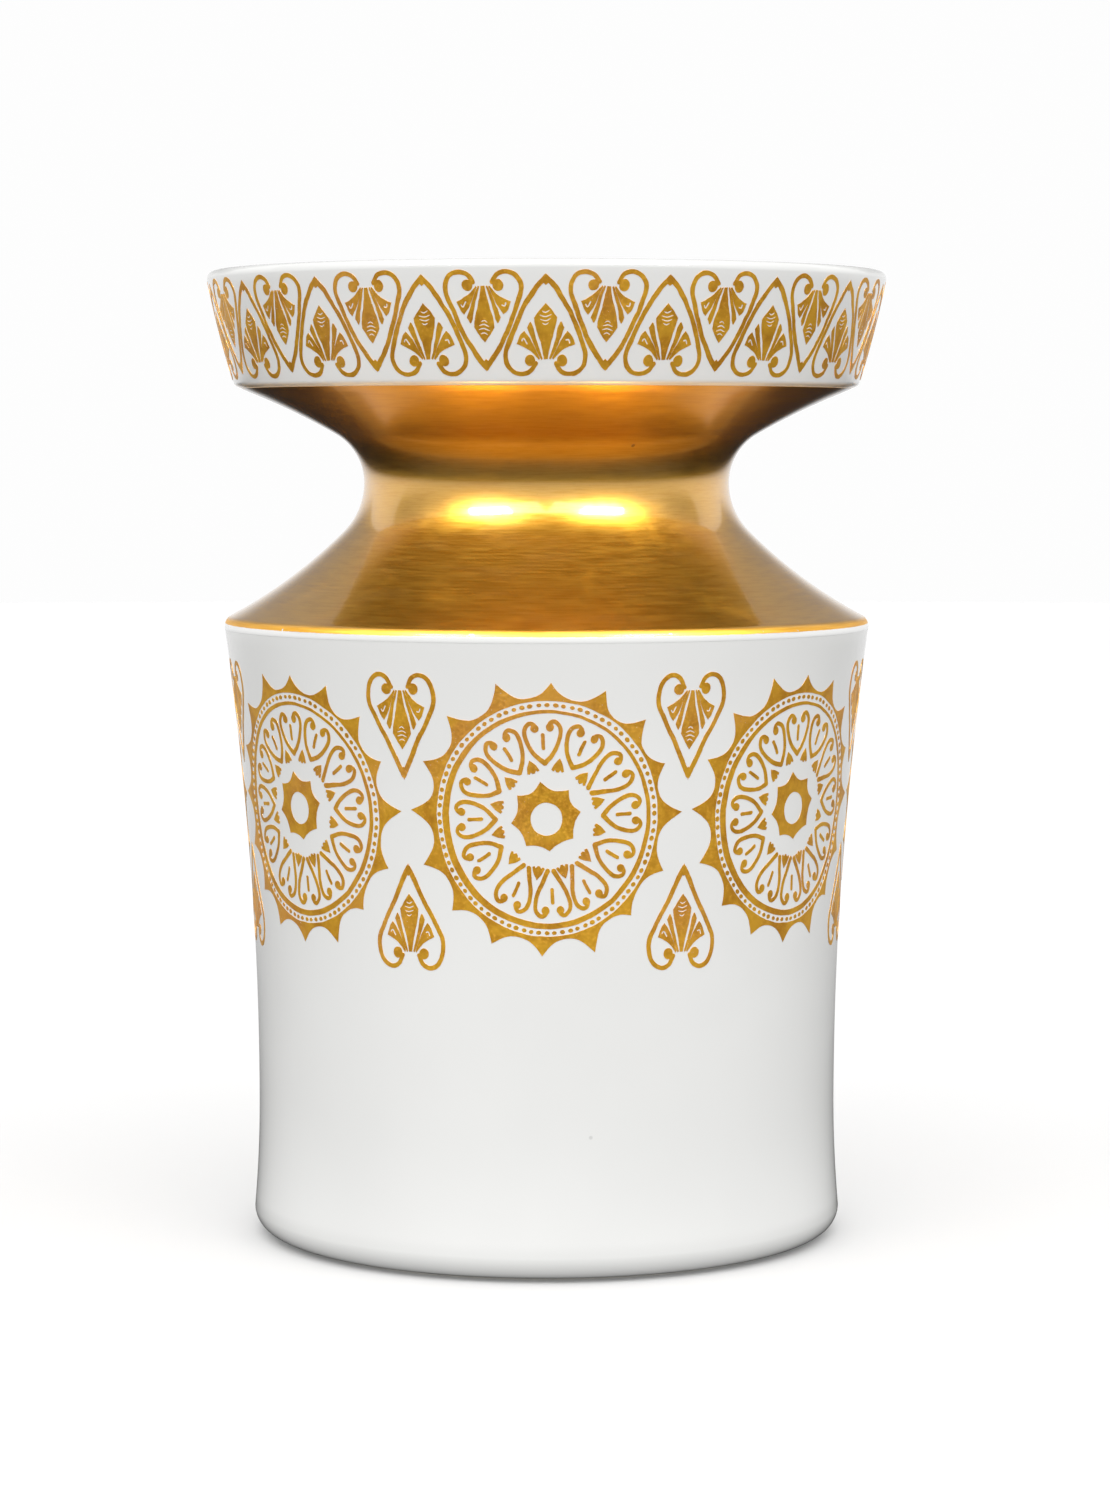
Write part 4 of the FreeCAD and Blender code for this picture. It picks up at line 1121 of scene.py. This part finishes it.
class VaseMaker:
    """What the operators share."""

    bl_options = {"REGISTER", "UNDO"}

    def keep(self, piece, slot, *nodes):
        """Put a finished piece in the frame in place of CAD nodes."""
        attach(piece, BODY)
        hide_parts(*nodes)
        return piece


class VASE_OT_porcelain(VaseMaker, bpy.types.Operator):
    """Turn the glazed porcelain, from underside to rim"""

    bl_idname = "vase.porcelain"
    bl_label = "Porcelain"

    def execute(self, context):
        form, finish = context.scene.vase_form, context.scene.vase_finish
        clay = kept("Glazed porcelain", glaze, finish)
        piece = turned("glazed_porcelain", porcelain_line(form), form, clay)
        self.keep(piece, "porcelain", "base_floor", "body_wall", "shoulder_cone",
                  "throat_flare", "rim_collar")
        return {"FINISHED"}


class VASE_OT_foot(VaseMaker, bpy.types.Operator):
    """Turn the bare ring that the vase stands on"""

    bl_idname = "vase.foot"
    bl_label = "Foot Ring"

    def execute(self, context):
        form, finish = context.scene.vase_form, context.scene.vase_finish
        clay = kept("Bare porcelain", bare_clay, finish)
        piece = turned("bare_foot_ring", foot_line(form), form, clay, 60)
        self.keep(piece, "biscuit", "foot_ring")
        return {"FINISHED"}


class VASE_OT_neck_gold(VaseMaker, bpy.types.Operator):
    """Gild the neck from the shoulder's edge to the collar"""

    bl_idname = "vase.neck_gold"
    bl_label = "Neck Gilding"

    def execute(self, context):
        scene = context.scene
        gold = kept("Burnished gold", burnished_gold, scene.vase_finish, scene.vase_form)
        line = gold_line(scene.vase_form, scene.vase_ornament.relief)
        piece = turned("burnished_neck", line, scene.vase_form, gold)
        self.keep(piece, "burnished_gold", "neck_gilding")
        return {"FINISHED"}


class VASE_OT_medallions(VaseMaker, bpy.types.Operator):
    """Lay the medallions round the body"""

    bl_idname = "vase.medallions"
    bl_label = "Medallions"

    def execute(self, context):
        scene = context.scene
        ornament, curve = scene.vase_ornament, shoulder_curve(scene.vase_form)
        gold = kept("Printed gold", printed_gold, scene.vase_finish)
        up = ornament.medallion_height
        piece = laid_round("gilt_medallions", medallion(ornament), ornament, curve,
                           ornament.medallions, 0.0, up, up, gold)
        self.keep(piece, "printed_gold", *[f"medallion_{k + 1}" for k in range(7)])
        return {"FINISHED"}


class VASE_OT_hearts(VaseMaker, bpy.types.Operator):
    """Lay the pairs of hearts between the medallions"""

    bl_idname = "vase.hearts"
    bl_label = "Body Hearts"

    def execute(self, context):
        scene = context.scene
        ornament, curve = scene.vase_ornament, shoulder_curve(scene.vase_form)
        gold = kept("Printed gold", printed_gold, scene.vase_finish)
        width, length = ornament.heart_width, ornament.heart_length
        for name, tip, side in (("upper_heart", ornament.upper_tip, 1),
                                ("lower_heart", ornament.lower_tip, -1)):
            layers = palmette(BODY_HEART, width, length, ornament.line, side)
            piece = laid_round(f"gilt_{name}s", layers, ornament, curve, ornament.medallions, 0.5,
                               tip, tip + side * length / 2, gold)
            self.keep(piece, "printed_gold", *[f"{name}_{k + 1}" for k in range(7)])
        return {"FINISHED"}


class VASE_OT_frieze(VaseMaker, bpy.types.Operator):
    """Lay the frieze of upright and inverted hearts round the collar"""

    bl_idname = "vase.frieze"
    bl_label = "Collar Frieze"

    def execute(self, context):
        scene = context.scene
        ornament, curve = scene.vase_ornament, collar_curve(scene.vase_form)
        gold = kept("Printed gold", printed_gold, scene.vase_finish)
        for name, side, first in (("upright", -1, 0.0), ("inverted", 1, 0.5)):
            tip, width, length = (getattr(ornament, f"{name}_{size}")
                                  for size in ("tip", "width", "length"))
            layers = palmette(FRIEZE_HEART, width, length, ornament.line, side)
            piece = laid_round(f"gilt_{name}_hearts", layers, ornament, curve,
                               ornament.frieze_hearts, first, tip, tip + side * length / 2, gold,
                               uneven=0.0005)
            self.keep(piece, "printed_gold", f"frieze_{name}_hearts")
        return {"FINISHED"}


class VASE_OT_stage(bpy.types.Operator):
    """Set up the floor, the soft light and the camera"""

    bl_idname = "vase.stage"
    bl_label = "Stage"
    bl_options = {"REGISTER", "UNDO"}

    def execute(self, context):
        scene, stage = context.scene, context.scene.vase_stage
        scene.world = studio_world(stage)
        scene.view_settings.view_transform = "Standard"
        paper_floor(stage)
        for side in (-1, 1):
            soft_light(f"lamp_{side}", 39 * side, 41, 1.3, (0.50, 0.34), stage.lamp_power)
            soft_light(f"screen_{side}", 27 * side, 38, 1.4, (1.0, 0.55), 0.16 * stage.lamp_power)
        scene.camera = front_camera()
        return {"FINISHED"}


class VASE_PT_panel(bpy.types.Panel):
    """Lists the vase's pieces and sizes"""

    bl_idname = "VASE_PT_panel"
    bl_label = "Gilded Vase"
    bl_space_type = "VIEW_3D"
    bl_region_type = "UI"
    bl_category = "Vase"

    def draw(self, context):
        for maker in MAKERS:
            self.layout.operator(maker.bl_idname)
        for group in ("vase_form", "vase_ornament", "vase_finish", "vase_stage"):
            box = self.layout.box()
            settings = getattr(context.scene, group)
            for name in settings.__annotations__:
                box.prop(settings, name)


GROUPS = {"vase_form": VaseForm, "vase_ornament": VaseOrnament, "vase_finish": VaseFinish,
          "vase_stage": VaseStage}
MAKERS = (VASE_OT_stage, VASE_OT_porcelain, VASE_OT_foot, VASE_OT_neck_gold, VASE_OT_medallions,
          VASE_OT_hearts, VASE_OT_frieze)


def register():
    """Add the classes and the scene's settings."""
    for kind in (*GROUPS.values(), *MAKERS, VASE_PT_panel):
        bpy.utils.register_class(kind)
    for name, kind in GROUPS.items():
        setattr(bpy.types.Scene, name, PointerProperty(type=kind))


def unregister():
    """Take them away again."""
    for name in GROUPS:
        delattr(bpy.types.Scene, name)
    for kind in (VASE_PT_panel, *MAKERS, *GROUPS.values()):
        bpy.utils.unregister_class(kind)


def main():
    """Make the whole scene."""
    register()
    bpy.ops.vase.stage()
    bpy.ops.vase.porcelain()
    bpy.ops.vase.foot()
    bpy.ops.vase.neck_gold()
    bpy.ops.vase.medallions()
    bpy.ops.vase.hearts()
    bpy.ops.vase.frieze()


if __name__ == "__main__":
    main()
